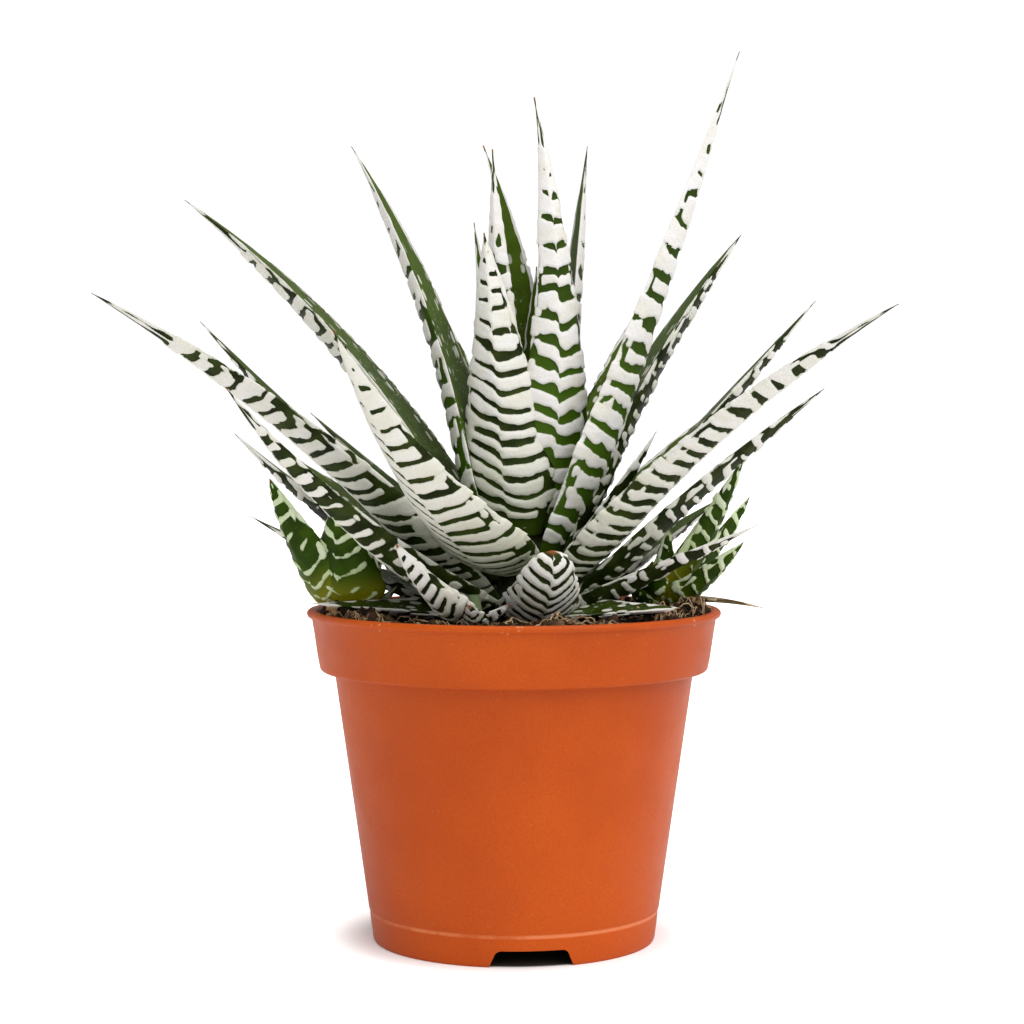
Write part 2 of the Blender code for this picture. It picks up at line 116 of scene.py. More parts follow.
def gridMesh(name, around, along):
    # a flat sheet whose points are read as shares 0..1 around and along
    work = bmesh.new()
    work.loops.layers.uv.new("UVMap")
    bmesh.ops.create_grid(work, x_segments=around, y_segments=along, size=0.5, calc_uvs=True)
    mesh = meshFrom(work, name, smooth=False)
    flat = readPoints(mesh)
    return mesh, flat[:, 0] + 0.5, flat[:, 1] + 0.5


def closeShell(mesh, fill=True):
    # join the sheet's two long sides and close its ends
    work = bmesh.new()
    work.from_mesh(mesh)
    bmesh.ops.remove_doubles(work, verts=work.verts, dist=weldDistance)
    if fill:
        rim = [edge for edge in work.edges if edge.is_boundary]
        bmesh.ops.holes_fill(work, edges=rim, sides=0)
    bmesh.ops.recalc_face_normals(work, faces=work.faces)
    work.to_mesh(mesh)
    work.free()
    mesh.shade_smooth()


class Graph:
    # a material's nodes, made and wired in short lines
    def __init__(self, name):
        self.material = bpy.data.materials.new(name)
        self.material.use_nodes = True
        self.tree = self.material.node_tree
        self.shader = self.tree.nodes["Principled BSDF"]

    def add(self, kind, settings=None, **sockets):
        item = self.tree.nodes.new(kind)
        for key, value in (settings or {}).items():
            setattr(item, key, value)
        for key, value in sockets.items():
            self.plug(item.inputs[int(key[1:])] if key[1:].isdigit() else item.inputs[key], value)
        return item

    def plug(self, socket, value):
        if isinstance(value, bpy.types.NodeSocket):
            self.tree.links.new(value, socket)
        else:
            socket.default_value = value

    def math(self, operation, a, b=0.0, c=0.0, clamp=False):
        return self.add("ShaderNodeMath", {"operation": operation, "use_clamp": clamp},
                        i0=a, i1=b, i2=c).outputs[0]

    def times(self, a, b):
        return self.math("MULTIPLY", a, b)

    def timesPlus(self, a, b, c):
        return self.math("MULTIPLY_ADD", a, b, c)

    def mix(self, share, a, b):
        item = self.add("ShaderNodeMix", {"data_type": "RGBA"})
        self.plug(item.inputs[0], share)
        self.plug(item.inputs[6], a)
        self.plug(item.inputs[7], b)
        return item.outputs[2]

    def span(self, value, low, high, start=0.0, end=1.0):
        item = self.add("ShaderNodeMapRange", {"interpolation_type": "SMOOTHSTEP"})
        for key, setting in (("Value", value), ("From Min", low), ("From Max", high),
                             ("To Min", start), ("To Max", end)):
            self.plug(item.inputs[key], setting)
        return item.outputs[0]

    def noise(self, place, scale, detail=3.0, rough=0.55):
        return self.add("ShaderNodeTexNoise", Vector=place, Scale=scale, Detail=detail,
                        Roughness=rough).outputs["Fac"]

    def cells(self, place, scale, **settings):
        return self.add("ShaderNodeTexVoronoi", {"feature": "F1"}, Vector=place, Scale=scale,
                        **settings).outputs

    def stretched(self, place, scale):
        return self.add("ShaderNodeMapping", Vector=place, Scale=scale).outputs["Vector"]

    def apart(self, place):
        return self.add("ShaderNodeSeparateXYZ", Vector=place).outputs

    def radius(self, apart):
        # distance from the upright axis
        squares = [self.times(apart[axis], apart[axis]) for axis in (0, 1)]
        return self.math("SQRT", self.math("ADD", *squares))

    def attribute(self, name):
        return self.add("ShaderNodeAttribute", {"attribute_name": name}).outputs["Fac"]

    def objectPlace(self):
        return self.add("ShaderNodeTexCoord").outputs["Object"]

    def uvPlace(self):
        return self.add("ShaderNodeUVMap", {"uv_map": "UVMap"}).outputs["UV"]

    def bump(self, height, strength, distance):
        item = self.add("ShaderNodeBump", Height=height, Strength=strength, Distance=distance)
        self.plug(self.shader.inputs["Normal"], item.outputs["Normal"])

    def surface(self, color, roughness, shine=None):
        self.plug(self.shader.inputs["Base Color"], color)
        self.plug(self.shader.inputs["Roughness"], roughness)
        if shine is not None:
            self.plug(self.shader.inputs["Specular IOR Level"], shine)
        return self.material


def rgb(red, green, blue):
    # screen values 0..255 to the linear colour that the shader wants
    def linear(value):
        value /= 255.0
        return value / 12.92 if value <= 0.04045 else ((value + 0.055) / 1.055) ** 2.4
    return (linear(red), linear(green), linear(blue), 1.0)


# Sizes of the skin's marks in mm. Shares say how strongly a mark or a tone shows.
skinShape = dict(
    fine=0.55, broad=5.0, grit=0.40, ovals=2.3, ovalStretch=0.55, grains=0.85, patches=2.6,
    ragged=0.16, bandEdge=(-0.04, 0.10), ovalEdge=(0.36, 0.29), grainEdge=(0.36, 0.20),
    dotShare=0.92, ageAndShadeShare=0.85, tipShare=0.8, innerShare=0.75, lowLeafInner=-0.5,
    roughness=(0.52, 0.65), shine=0.07, bumpStrength=0.55, bumpDepth=0.00016)


def paleDots(graph, uv, inner):
    # the inner face carries a row of ovals near each margin, and fine dots lower down
    skin = skinShape
    across = graph.attribute("across")
    upper = graph.attribute("upper")
    ovals = graph.cells(graph.stretched(uv, (1.0, skin["ovalStretch"], 1.0)),
                        uvSpan / skin["ovals"], Randomness=0.7)["Distance"]
    oval = graph.span(ovals, *skin["ovalEdge"])
    nearMargin = graph.times(graph.span(across, 0.30, 0.42), graph.span(upper, 0.78, 0.62))
    lowLeaf = graph.attribute("dots")
    nearMargin = graph.math("MAXIMUM", nearMargin, lowLeaf)
    oval = graph.times(oval, nearMargin)
    grains = graph.cells(uv, uvSpan / skin["grains"], Randomness=0.9)["Distance"]
    patches = graph.span(graph.noise(uv, uvSpan / skin["patches"], 2.0), 0.46, 0.60)
    grain = graph.times(graph.span(grains, *skin["grainEdge"]), patches)
    grain = graph.times(grain, graph.span(upper, 0.72, 0.45, 0.0, 0.5))
    return graph.times(graph.math("MAXIMUM", oval, grain), inner), lowLeaf


def makeLeafSkin(name, tones):
    skin = skinShape
    graph = Graph(name)
    uv = graph.uvPlace()
    band = graph.attribute("band")
    inner = graph.attribute("inner")
    fresh = graph.attribute("fresh")
    fine = graph.noise(uv, uvSpan / skin["fine"], 2.0)
    broad = graph.noise(uv, uvSpan / skin["broad"], 3.0)
    grit = graph.noise(uv, uvSpan / skin["grit"], 2.0)
    ragged = graph.timesPlus(graph.math("SUBTRACT", fine, 0.5), skin["ragged"], band)
    white = graph.span(ragged, *skin["bandEdge"])
    dots, lowLeaf = paleDots(graph, uv, inner)
    white = graph.math("MAXIMUM", white, graph.times(dots, skin["dotShare"]))
    # flesh between the bands
    dark = graph.mix(graph.span(broad, 0.35, 0.7), tones["dark"], tones["darkHaze"])
    flesh = graph.mix(fresh, dark, tones["fresh"])
    innerShare = graph.timesPlus(lowLeaf, skin["lowLeafInner"], skin["innerShare"])
    innerShare = graph.times(inner, innerShare)
    flesh = graph.mix(innerShare, flesh, graph.mix(broad, tones["innerDark"], tones["innerLight"]))
    flesh = graph.mix(graph.attribute("root"), flesh, tones["root"])
    # raised bands, greener where they thin out
    # bands turn greyer on older leaves and towards the root: partly the leaf's age, partly painted shade
    # where the rosette shades the leaf bases
    ageAndShade = graph.times(graph.attribute("ageAndShade"), skin["ageAndShadeShare"])
    ribbon = graph.mix(graph.span(broad, 0.3, 0.75), tones["white"], tones["cream"])
    ribbon = graph.mix(ageAndShade, ribbon, tones["agedAndShaded"])
    ribbon = graph.mix(graph.span(ragged, 0.45, 0.0, 0.0, 0.28), ribbon, tones["bandEdge"])
    ribbon = graph.mix(graph.span(grit, 0.55, 0.75, 0.0, 0.22), ribbon, tones["bandEdge"])
    ribbon = graph.mix(graph.span(fine, 0.30, 0.62, 0.12, 0.0), ribbon, tones["bandEdge"])
    color = graph.mix(white, flesh, ribbon)
    tip = graph.times(graph.attribute("tip"), skin["tipShare"])
    color = graph.mix(tip, color, tones["tip"])
    height = graph.timesPlus(fine, 0.8, graph.times(grit, 0.6))
    height = graph.timesPlus(white, 0.5, height)
    graph.bump(height, skin["bumpStrength"], skin["bumpDepth"])
    return graph.surface(color, graph.span(white, 0.0, 1.0, *skin["roughness"]), skin["shine"])


matureTones = dict(
    dark=rgb(20, 26, 4), darkHaze=rgb(46, 56, 18), fresh=rgb(56, 82, 14),
    innerDark=rgb(43, 57, 6), innerLight=rgb(80, 104, 14), root=rgb(56, 74, 12),
    white=rgb(224, 221, 221), cream=rgb(213, 209, 199), agedAndShaded=rgb(190, 191, 168),
    bandEdge=rgb(160, 168, 138), tip=rgb(150, 84, 40))
youngTones = dict(
    dark=rgb(20, 36, 2), darkHaze=rgb(48, 70, 4), fresh=rgb(52, 78, 3),
    innerDark=rgb(40, 64, 5), innerLight=rgb(72, 96, 12), root=rgb(150, 138, 20),
    white=rgb(206, 212, 192), cream=rgb(190, 202, 160), agedAndShaded=rgb(168, 186, 122),
    bandEdge=rgb(128, 156, 76), tip=rgb(110, 72, 32))
dryTones = dict(
    dark=rgb(62, 52, 20), darkHaze=rgb(100, 86, 44), fresh=rgb(78, 74, 26),
    innerDark=rgb(78, 66, 30), innerLight=rgb(118, 100, 58), root=rgb(90, 74, 38),
    white=rgb(196, 186, 158), cream=rgb(178, 162, 126), agedAndShaded=rgb(162, 146, 108),
    bandEdge=rgb(140, 122, 82), tip=rgb(112, 48, 20))


# Tones of the moulded plastic. Pairs of lengths, in metres, are where a mark is absent and full.
potFinish = dict(
    # the scuff tone is both pale wear and a painted highlight along the mould line
    base=rgb(168, 66, 4), warm=rgb(182, 76, 7), shade=rgb(150, 48, 2), scuffAndSeamHighlight=rgb(214, 126, 80),
    # the wet tone is painted shade for the hollow under the floor
    sand=rgb(196, 160, 122), hollowShade=rgb(30, 18, 12),
    seam=(0.00055, 0.00015), sandHeight=(0.0655, 0.0668),
    hollowShadeRadius=(0.0283, 0.0278), hollowShadeHeight=(0.0042, 0.0037), shine=0.16)


def makePotPlastic():
    tones = potFinish
    graph = Graph("terracottaPlastic")
    place = graph.objectPlace()
    apart = graph.apart(place)
    radius = graph.radius(apart)
    broad = graph.noise(place, 26.0, 3.0)
    grain = graph.noise(place, 2600.0, 2.0)
    speck = graph.cells(place, 420.0)["Distance"]
    scuffAndSeamHighlight = graph.noise(graph.stretched(place, (1.0, 1.0, 1.6)), 45.0, 6.0, 0.72)
    color = graph.mix(graph.span(broad, 0.3, 0.7), tones["base"], tones["warm"])
    color = graph.mix(graph.span(grain, 0.35, 0.75, 0.0, 0.35), color, tones["shade"])
    color = graph.mix(graph.span(speck, 0.10, 0.04, 0.0, 0.18), color, tones["scuffAndSeamHighlight"])
    color = graph.mix(graph.span(scuffAndSeamHighlight, 0.62, 0.80, 0.0, 0.32), color, tones["scuffAndSeamHighlight"])
    # a painted highlight as a paler line along the mould line above the foot, broken here and there, and
    # sandy grit on the lip
    seam = graph.math("ABSOLUTE", graph.math("SUBTRACT", apart[2], potSeamHeight * mm))
    seam = graph.times(graph.span(seam, *tones["seam"]), graph.span(scuffAndSeamHighlight, 0.38, 0.60, 0.15, 0.8))
    color = graph.mix(seam, color, tones["scuffAndSeamHighlight"])
    sand = graph.times(graph.span(graph.cells(place, 700.0)["Distance"], 0.30, 0.20),
                       graph.span(graph.noise(place, 160.0, 3.0), 0.52, 0.62))
    sand = graph.times(sand, graph.span(apart[2], *tones["sandHeight"], 0.0, 0.4))
    color = graph.mix(sand, color, tones["sand"])
    # painted shade: the hollow under the floor is darkened as if in its own shadow
    hollowShade = graph.times(graph.span(radius, *tones["hollowShadeRadius"]),
                      graph.span(apart[2], *tones["hollowShadeHeight"]))
    color = graph.mix(hollowShade, color, tones["hollowShade"])
    graph.bump(graph.timesPlus(scuffAndSeamHighlight, 0.3, grain), 0.22, 0.0001)
    return graph.surface(color, graph.span(scuffAndSeamHighlight, 0.35, 0.75, 0.44, 0.58), tones["shine"])


soilTones = dict(dark=rgb(12, 8, 5), mid=rgb(44, 31, 21), pale=rgb(120, 92, 66))
crumbTones = dict(dark=rgb(24, 17, 11), mid=rgb(64, 46, 31), pale=rgb(152, 120, 88))


def makeSoilCrumb(name, tones, scale):
    graph = Graph(name)
    place = graph.objectPlace()
    cells = graph.cells(place, scale)["Color"]
    shade = graph.add("ShaderNodeSeparateColor", Color=cells).outputs[0]
    broad = graph.noise(place, scale * 0.35, 4.0, 0.65)
    grit = graph.noise(place, scale * 4.0, 3.0, 0.6)
    color = graph.mix(graph.span(broad, 0.35, 0.68), tones["dark"], tones["mid"])
    color = graph.mix(graph.span(shade, 0.80, 0.95), color, tones["pale"])
    color = graph.mix(graph.span(grit, 0.6, 0.75, 0.0, 0.5), color, tones["mid"])
    graph.bump(graph.timesPlus(grit, 0.7, broad), 0.7, 0.0004)
    return graph.surface(color, graph.span(grit, 0.2, 0.8, 0.82, 0.98), 0.12)


def makeFibre(name, dark, pale):
    graph = Graph(name)
    place = graph.objectPlace()
    color = graph.mix(graph.span(graph.noise(place, 420.0, 3.0), 0.35, 0.68), dark, pale)
    streak = graph.noise(place, 2400.0, 2.0)
    graph.bump(streak, 0.4, 0.0001)
    return graph.surface(graph.mix(graph.span(streak, 0.5, 0.8, 0.0, 0.4), color, dark), 0.8)


materials = dict(
    mature=makeLeafSkin("bandedLeafSkin", matureTones),
    young=makeLeafSkin("youngLeafSkin", youngTones),
    dry=makeLeafSkin("dryLeafSkin", dryTones),
    plastic=makePotPlastic(),
    soil=makeSoilCrumb("darkSoil", soilTones, 900.0),
    crumb=makeSoilCrumb("soilCrumb", crumbTones, 420.0),
    fibre=makeFibre("coirFibre", rgb(104, 76, 48), rgb(186, 158, 118)),
    stem=makeFibre("darkStem", rgb(38, 40, 22), rgb(72, 70, 40)),
)
print("materials made:", len(materials))


leafShape = dict(
    stemX=2.5, plantBase=66.0, stemTop=88.0, stemBaseRadius=7.5, stemTopRadius=2.4, gap=0.3,
    neck=0.58, belly=0.22,
    keelAtRoot=0.52, keelGain=0.28, channelAtRoot=-0.12, channelGain=0.20,
    keelSharpness=1.75, keelSharpening=0.55, backFullness=0.6, tipHalfWidth=0.16)
leafMesh = dict(
    backSteps=38, innerSteps=14, step=0.36, hiddenBackSteps=24, hiddenInnerSteps=8, hiddenStep=0.6,
    relief=0.42, reliefFrom=-0.22, reliefTo=0.42, lumps=0.07, teeth=0.22, toothPitch=1.3,
    edgeLine=0.42, rootFade=0.10, tipLength=1.3, slimWidth=9.0, backU=0.2, innerU=0.45, footV=0.02)

# How the bands run. Pitch is in mm, white and flare are the share of a pitch that is white at the
# keel and what it gains by the margin. Bow is how far a band curves towards the tip at both
# margins, and sweep how far it slopes across a leaf that leans to one side, both in half widths.
# Stagger sets the left half's bands off from the right's, solid is how unbroken a band is, reach
# how many bands run into the left and the right margin, scallop how far a band's lobes hang down,
# and merge how far the upper bands run together. PaleRoot is how much further the root's tone
# runs up. Each look gives what differs from the plain one.
plainLook = dict(
    pitch=3.2, pitchGain=1.6, white=0.40, whiteGain=-0.04, flare=0.16, bow=0.30, sweep=0.0,
    wander=0.9, keelStep=0.8, stagger=0.3, lobe=0.45, scallop=0.4, nodule=0.20,
    solid=0.95, reach=(0.3, 0.2), merge=0.05, mergeFrom=0.6, edge=1.0,
    fresh=0.05, ageAndShade=0.35, uneven=0.2, plainFrom=0.84, dots=0.0, paleRoot=1.0)
ribbonLook = dict(
    plainLook, pitch=3.0, pitchGain=1.5, white=0.63, whiteGain=0.04, bow=0.29, sweep=0.25,
    wander=0.7, keelStep=0.6, stagger=0.34, lobe=0.34, scallop=0.42, nodule=0.18,
    reach=(0.75, 0.35), merge=0.6, mergeFrom=0.55, fresh=0.10, uneven=0.18, plainFrom=0.92)
spottedLook = dict(
    plainLook, whiteGain=-0.08, flare=0.0, sweep=0.3, wander=1.0, keelStep=1.5, stagger=0.4,
    nodule=0.15, solid=0.05, reach=(0.2, 0.2), ageAndShade=0.30)
leafLooks = dict(
    ribbon=ribbonLook,
    swept=dict(ribbonLook, pitch=3.2, pitchGain=1.7, whiteGain=0.10, bow=0.09, sweep=0.90,
               reach=(0.75, 0.45), mergeFrom=0.60, fresh=0.16, ageAndShade=0.70),
    bold=dict(plainLook, pitch=4.3, pitchGain=1.4, white=0.50, whiteGain=0.24, bow=0.20,
              keelStep=1.0, stagger=0.2, lobe=0.75, scallop=1.0, reach=(0.6, 0.5), merge=0.7,
              fresh=1.3, ageAndShade=0.0, uneven=0.18),
    long=dict(plainLook, pitch=2.4, pitchGain=3.4, white=0.55, whiteGain=0.02, flare=0.22,
              bow=0.22, sweep=0.60, lobe=0.60, scallop=0.70, solid=0.80, reach=(0.7, 0.4),
              merge=0.28, mergeFrom=0.45, fresh=0.08, ageAndShade=0.45, uneven=0.22, plainFrom=0.80),
    broken=dict(plainLook, pitch=3.0, white=0.43, whiteGain=-0.06, flare=0.12, sweep=0.45,
                keelStep=1.2, scallop=0.55, nodule=0.22, solid=0.20, mergeFrom=0.55,
                fresh=0.06, ageAndShade=0.45),
    spotted=spottedLook,
    ground=dict(spottedLook, pitchGain=1.0, whiteGain=-0.04, edge=2.0, dots=1.0, plainFrom=0.9),
    fine=dict(plainLook, pitch=1.9, pitchGain=0.7, white=0.61, whiteGain=0.05, flare=0.12,
              bow=0.36, wander=0.4, lobe=0.20, scallop=0.25, nodule=0.16, solid=0.7,
              reach=(0.5, 0.5), merge=0.3, uneven=0.10, plainFrom=0.97),
    pup=dict(plainLook, pitchGain=0.6, white=0.22, whiteGain=0.08, flare=0.08, bow=0.44,
             wander=0.6, keelStep=0.7, lobe=0.30, scallop=0.3, nodule=0.34, solid=0.30,
             reach=(0.3, 0.3), merge=0.25, fresh=0.75, uneven=0.12, plainFrom=0.9, paleRoot=4.0),
)

# name, azimuth, root azimuth, rise, tilt, curl, sway, length, width, roll, taper, look
leafTable = [
    ("leaf_heart_6", 150, 150, 22.6, 2, 6, 0, 50, 8.0, 0, 0.97, "bold"),
    ("leaf_heart_1", -70, -40, 17.0, 4.5, 3, 0, 62, 19.5, 60, 0.95, "ribbon"),
    ("leaf_heart_2", 65, 62, 19.0, 9.5, -21, 0, 88, 15.0, -50, 1.15, "bold"),
    ("leaf_heart_3", -70, -85, 20.0, 3, 0, 0, 76, 10.0, 50, 1.0, "bold"),
    ("leaf_heart_4", -95, 180, 19.5, -7, 27, 0, 79, 10.0, -70, 0.97, "bold"),
    ("leaf_heart_5", -140, -140, 17.5, 10, 3, 0, 66, 11.0, 0, 0.97, "bold"),
    ("leaf_inner_1", 106, 106, 13.5, 3.5, 4.5, 0, 84, 13.0, 0, 0.85, "bold"),
    ("leaf_inner_2", -102, -100, 12.0, 8, 25, 0, 92, 18.5, -5, 0.95, "bold"),
    ("leaf_inner_3", 75, 60, 13.5, 23, -3, 0, 108, 17.0, -4, 1.15, "bold"),
    ("leaf_inner_4", 109, 100, 11.5, 21, 22, 0, 81, 18.0, -5, 0.8, "broken"),
    ("leaf_middle_1", -101.5, -92, 11.0, 27, 29.5, 0, 103, 20.0, 0, 0.9, "long"),
    ("leaf_middle_2", -27, -20, 12.0, 72, -35, -11, 79, 20.5, 0, 1.05, "swept"),
    ("leaf_middle_3", 80, 70, 9.5, 38, -3, 0, 36, 13.0, 0, 0.97, "broken"),
    ("leaf_middle_4", 92, 92, 7.0, 41, 3, 0, 79, 15.0, 0, 0.9, "broken"),
    ("leaf_middle_5", -111, -112, 8.0, 51, 1, 0, 55, 12.0, 0, 0.97, "spotted"),
    ("leaf_outer_1", 60, 55, 6.5, 41, 24, 0, 94, 15.5, 0, 0.88, "long"),
    ("leaf_outer_2", -67, -66, 3.5, 42, 23, 0, 104, 19.0, 0, 0.88, "long"),
    ("leaf_outer_3", -103, -106, 4.0, 50, -4, 0, 86, 14.0, 0, 0.9, "spotted"),
    ("leaf_outer_4", 84, 84, 3.0, 45, 11, 0, 69.5, 15.0, 0, 0.85, "broken"),
    ("leaf_outer_5", -54, -46, 2.5, 67, -24, 0, 78, 15.0, 0, 0.9, "broken"),
    ("leaf_outer_6", -90, -88, 2.5, 62, -12, 0, 63.5, 14.5, 0, 0.85, "spotted"),
    ("leaf_outer_7", 68, 58, 2.5, 66, 3, 0, 46, 12.0, 0, 0.9, "spotted"),
    ("leaf_outer_8", 12, 8, 3.2, 83, -51, 0, 23.5, 17.0, 0, 0.42, "fine"),
    ("leaf_low_1", -62, -74, 2.9, 88, -1, 0, 40, 9.0, -20, 0.85, "ground"),
    ("leaf_low_2", 48, 34, 2.9, 88, -1, 0, 34.5, 9.0, 20, 0.75, "ground"),
    ("leaf_back_1", 168, 164, 15.0, 16, 8, 0, 70, 14.0, 0, 0.97, "bold"),
    ("leaf_back_2", -160, -158, 12.0, 38, 8, 0, 70, 15.0, 0, 0.97, "long"),
    ("leaf_back_3", 150, 146, 11.5, 39, 4, 0, 78, 15.0, 0, 0.97, "ribbon"),
    ("leaf_back_4", -172, -176, 9.0, 38, 6, 0, 82, 16.0, 0, 0.97, "long"),
    ("leaf_back_5", -138, -138, 8.0, 48, 4, 0, 80, 15.0, 0, 0.97, "long"),
    ("leaf_back_6", 136, 134, 7.5, 56, 2, 0, 66, 15.0, 0, 0.97, "ribbon"),
    ("leaf_back_7", 161, 162, 4.5, 60, -6, 0, 65.5, 15.0, 0, 0.97, "long"),
    ("leaf_back_8", -168, -166, 4.0, 61, -6, 0, 63, 16.0, 0, 0.97, "ribbon"),
    ("leaf_back_9", -125, -126, 3.0, 61, 3, 0, 72, 14.0, 0, 0.97, "broken"),
    ("leaf_back_10", 122, 120, 3.0, 64, 0, 0, 50, 13.0, 0, 0.97, "broken"),
    ("leaf_back_11", -146, -146, 2.4, 68, -6, 0, 68, 14.0, 0, 0.97, "broken"),
    ("leaf_back_12", 142, 142, 2.2, 79, -6, 0, 46, 12.0, 0, 0.97, "spotted"),
    ("leaf_back_13", -106, -106, 2.4, 78, -13, 0, 57, 13.0, 0, 0.97, "broken"),
    ("leaf_back_14", 111, 110, 7.6, 43, 21.5, 0, 96.5, 10.5, 0, 0.97, "broken"),
]
leafKeys = ("name", "azimuth", "root", "rise", "tilt", "curl", "sway", "length", "width", "roll",
            "taper", "look")


def heading(degrees):
    angle = np.radians(degrees)
    return np.stack([np.sin(angle), -np.cos(angle), np.zeros_like(angle)], axis=-1)


def spineOf(leaf, rings):
    # the points up a leaf's middle, with its side and face directions at each, in mm
    up = np.array([0.0, 0.0, 1.0])

    def axesAt(share):
        tilt = np.radians(leaf["tilt"] + leaf["curl"] * share)[:, None]
        turn = leaf["azimuth"] + leaf["sway"] * share
        outward, across = heading(turn), heading(turn + 90.0)
        along = outward * np.sin(tilt) + up * np.cos(tilt)
        inward = up * np.sin(tilt) - outward * np.cos(tilt)
        roll = math.radians(leaf["roll"])
        side = across * math.cos(roll) + inward * math.sin(roll)
        face = inward * math.cos(roll) - across * math.sin(roll)
        return along, side, face

    step = leaf["length"] / rings
    middle = (np.arange(rings) + 0.5) / rings
    travel = np.cumsum(axesAt(middle)[0] * step, axis=0)
    points = np.vstack([np.zeros(3), travel]) + leaf["start"]
    return (points,) + axesAt(np.arange(rings + 1) / rings)[1:]


def halfWidthAt(leaf, share):
    shape = leafShape
    swell = shape["neck"] + (1 - shape["neck"]) * np.sin(
        math.pi / 2 * np.minimum(share / shape["belly"], 1.0))
    rest = np.clip((1 - share) / (1 - shape["belly"]), 0.0, 1.0) ** leaf["taper"]
    form = np.where(share < shape["belly"], swell, rest)
    return np.maximum(leaf["width"] / 2 * form, shape["tipHalfWidth"])


# How far each unevenness of the bands reaches, in mm across the leaf and along it.
bandWaves = dict(
    wander=(4.5, 6.0), keelStep=9.0, round=(1.9, 40.0), swell=2.8, crumple=1.0, nodule=0.75,
    upperSwell=2.6, breaks=1.9, beads=(1.3, 2.1), ragged=(1.2, 1.9), streak=3.0)


def bandRhythm(look, leaf, x, run, half, seed):
    # which band a point belongs to, how far through its pitch it is, and the local pitch in mm
    share = run / leaf["length"]
    across, away = x * half, np.abs(x)
    waves = bandWaves
    leftSide = x < 0
    pitch = look["pitch"] + look["pitchGain"] * share
    beside = smoothStep(0.0, 0.12, away)
    # bands bow towards the tip at the margins, and slope to hang level on a leaning leaf
    sweep = look["sweep"] * math.sin(math.radians(leaf["azimuth"]))
    shift = half * (look["bow"] * away ** 1.5 + sweep * x)
    wander = valueNoise(seed, across / waves["wander"][0] + 9.0, run / waves["wander"][1])
    shift = shift + look["wander"] * wander
    side = np.where(leftSide, 7.0, 23.0)
    keelStep = valueNoise(seed + 1, side, run / waves["keelStep"])
    shift = shift + look["keelStep"] * beside * keelStep
    shift = shift + look["stagger"] * pitch * beside * leftSide
    travel = np.maximum(run - shift, -pitch)
    gain = look["pitchGain"] / leaf["length"]
    phase = np.log1p(np.maximum(gain * travel / look["pitch"], -0.9)) / gain
    row = np.floor(phase)
    return row, phase - row, pitch


def bandEdges(look, x, run, half, seed, rhythm, share, merge, luck):
    # mm inside the lower and the upper edge of a band
    row, within, pitch = rhythm
    across, away = x * half, np.abs(x)
    waves = bandWaves
    # the gaps between the bands taper towards the margins
    white = look["white"] + look["whiteGain"] * share + look["uneven"] * (luck[..., 2] - 0.5)
    white = white + look["flare"] * away ** 2 + 0.10 * merge
    lower = (within - 0.5 + white / 2) * pitch
    upper = (0.5 + white / 2 - within) * pitch
    # round lobes hang from each band's lower edge
    lobes = np.abs(valueNoise(seed + 3, across / waves["round"][0] + row * 7.3,
                              row * 3.1 + run / waves["round"][1]))
    lower = lower + look["scallop"] * (np.sqrt(lobes) - 0.55) * np.minimum(pitch / 4.0, 1.0)
    swell = valueNoise(seed + 15, across / waves["swell"] + row * 3.7, row * 2.9)
    lower = lower + look["lobe"] * swell
    crumple = valueNoise(seed + 4, across / waves["crumple"], row * 2.7)
    lower = lower + 0.4 * look["nodule"] * crumple
    nodule = valueNoise(seed + 5, across / waves["nodule"] + row * 5.1, row * 1.7)
    upper = upper + look["nodule"] * nodule
    upper = upper + 0.4 * look["lobe"] * valueNoise(seed + 6, across / waves["upperSwell"], row * 4.3)
    return lower, upper


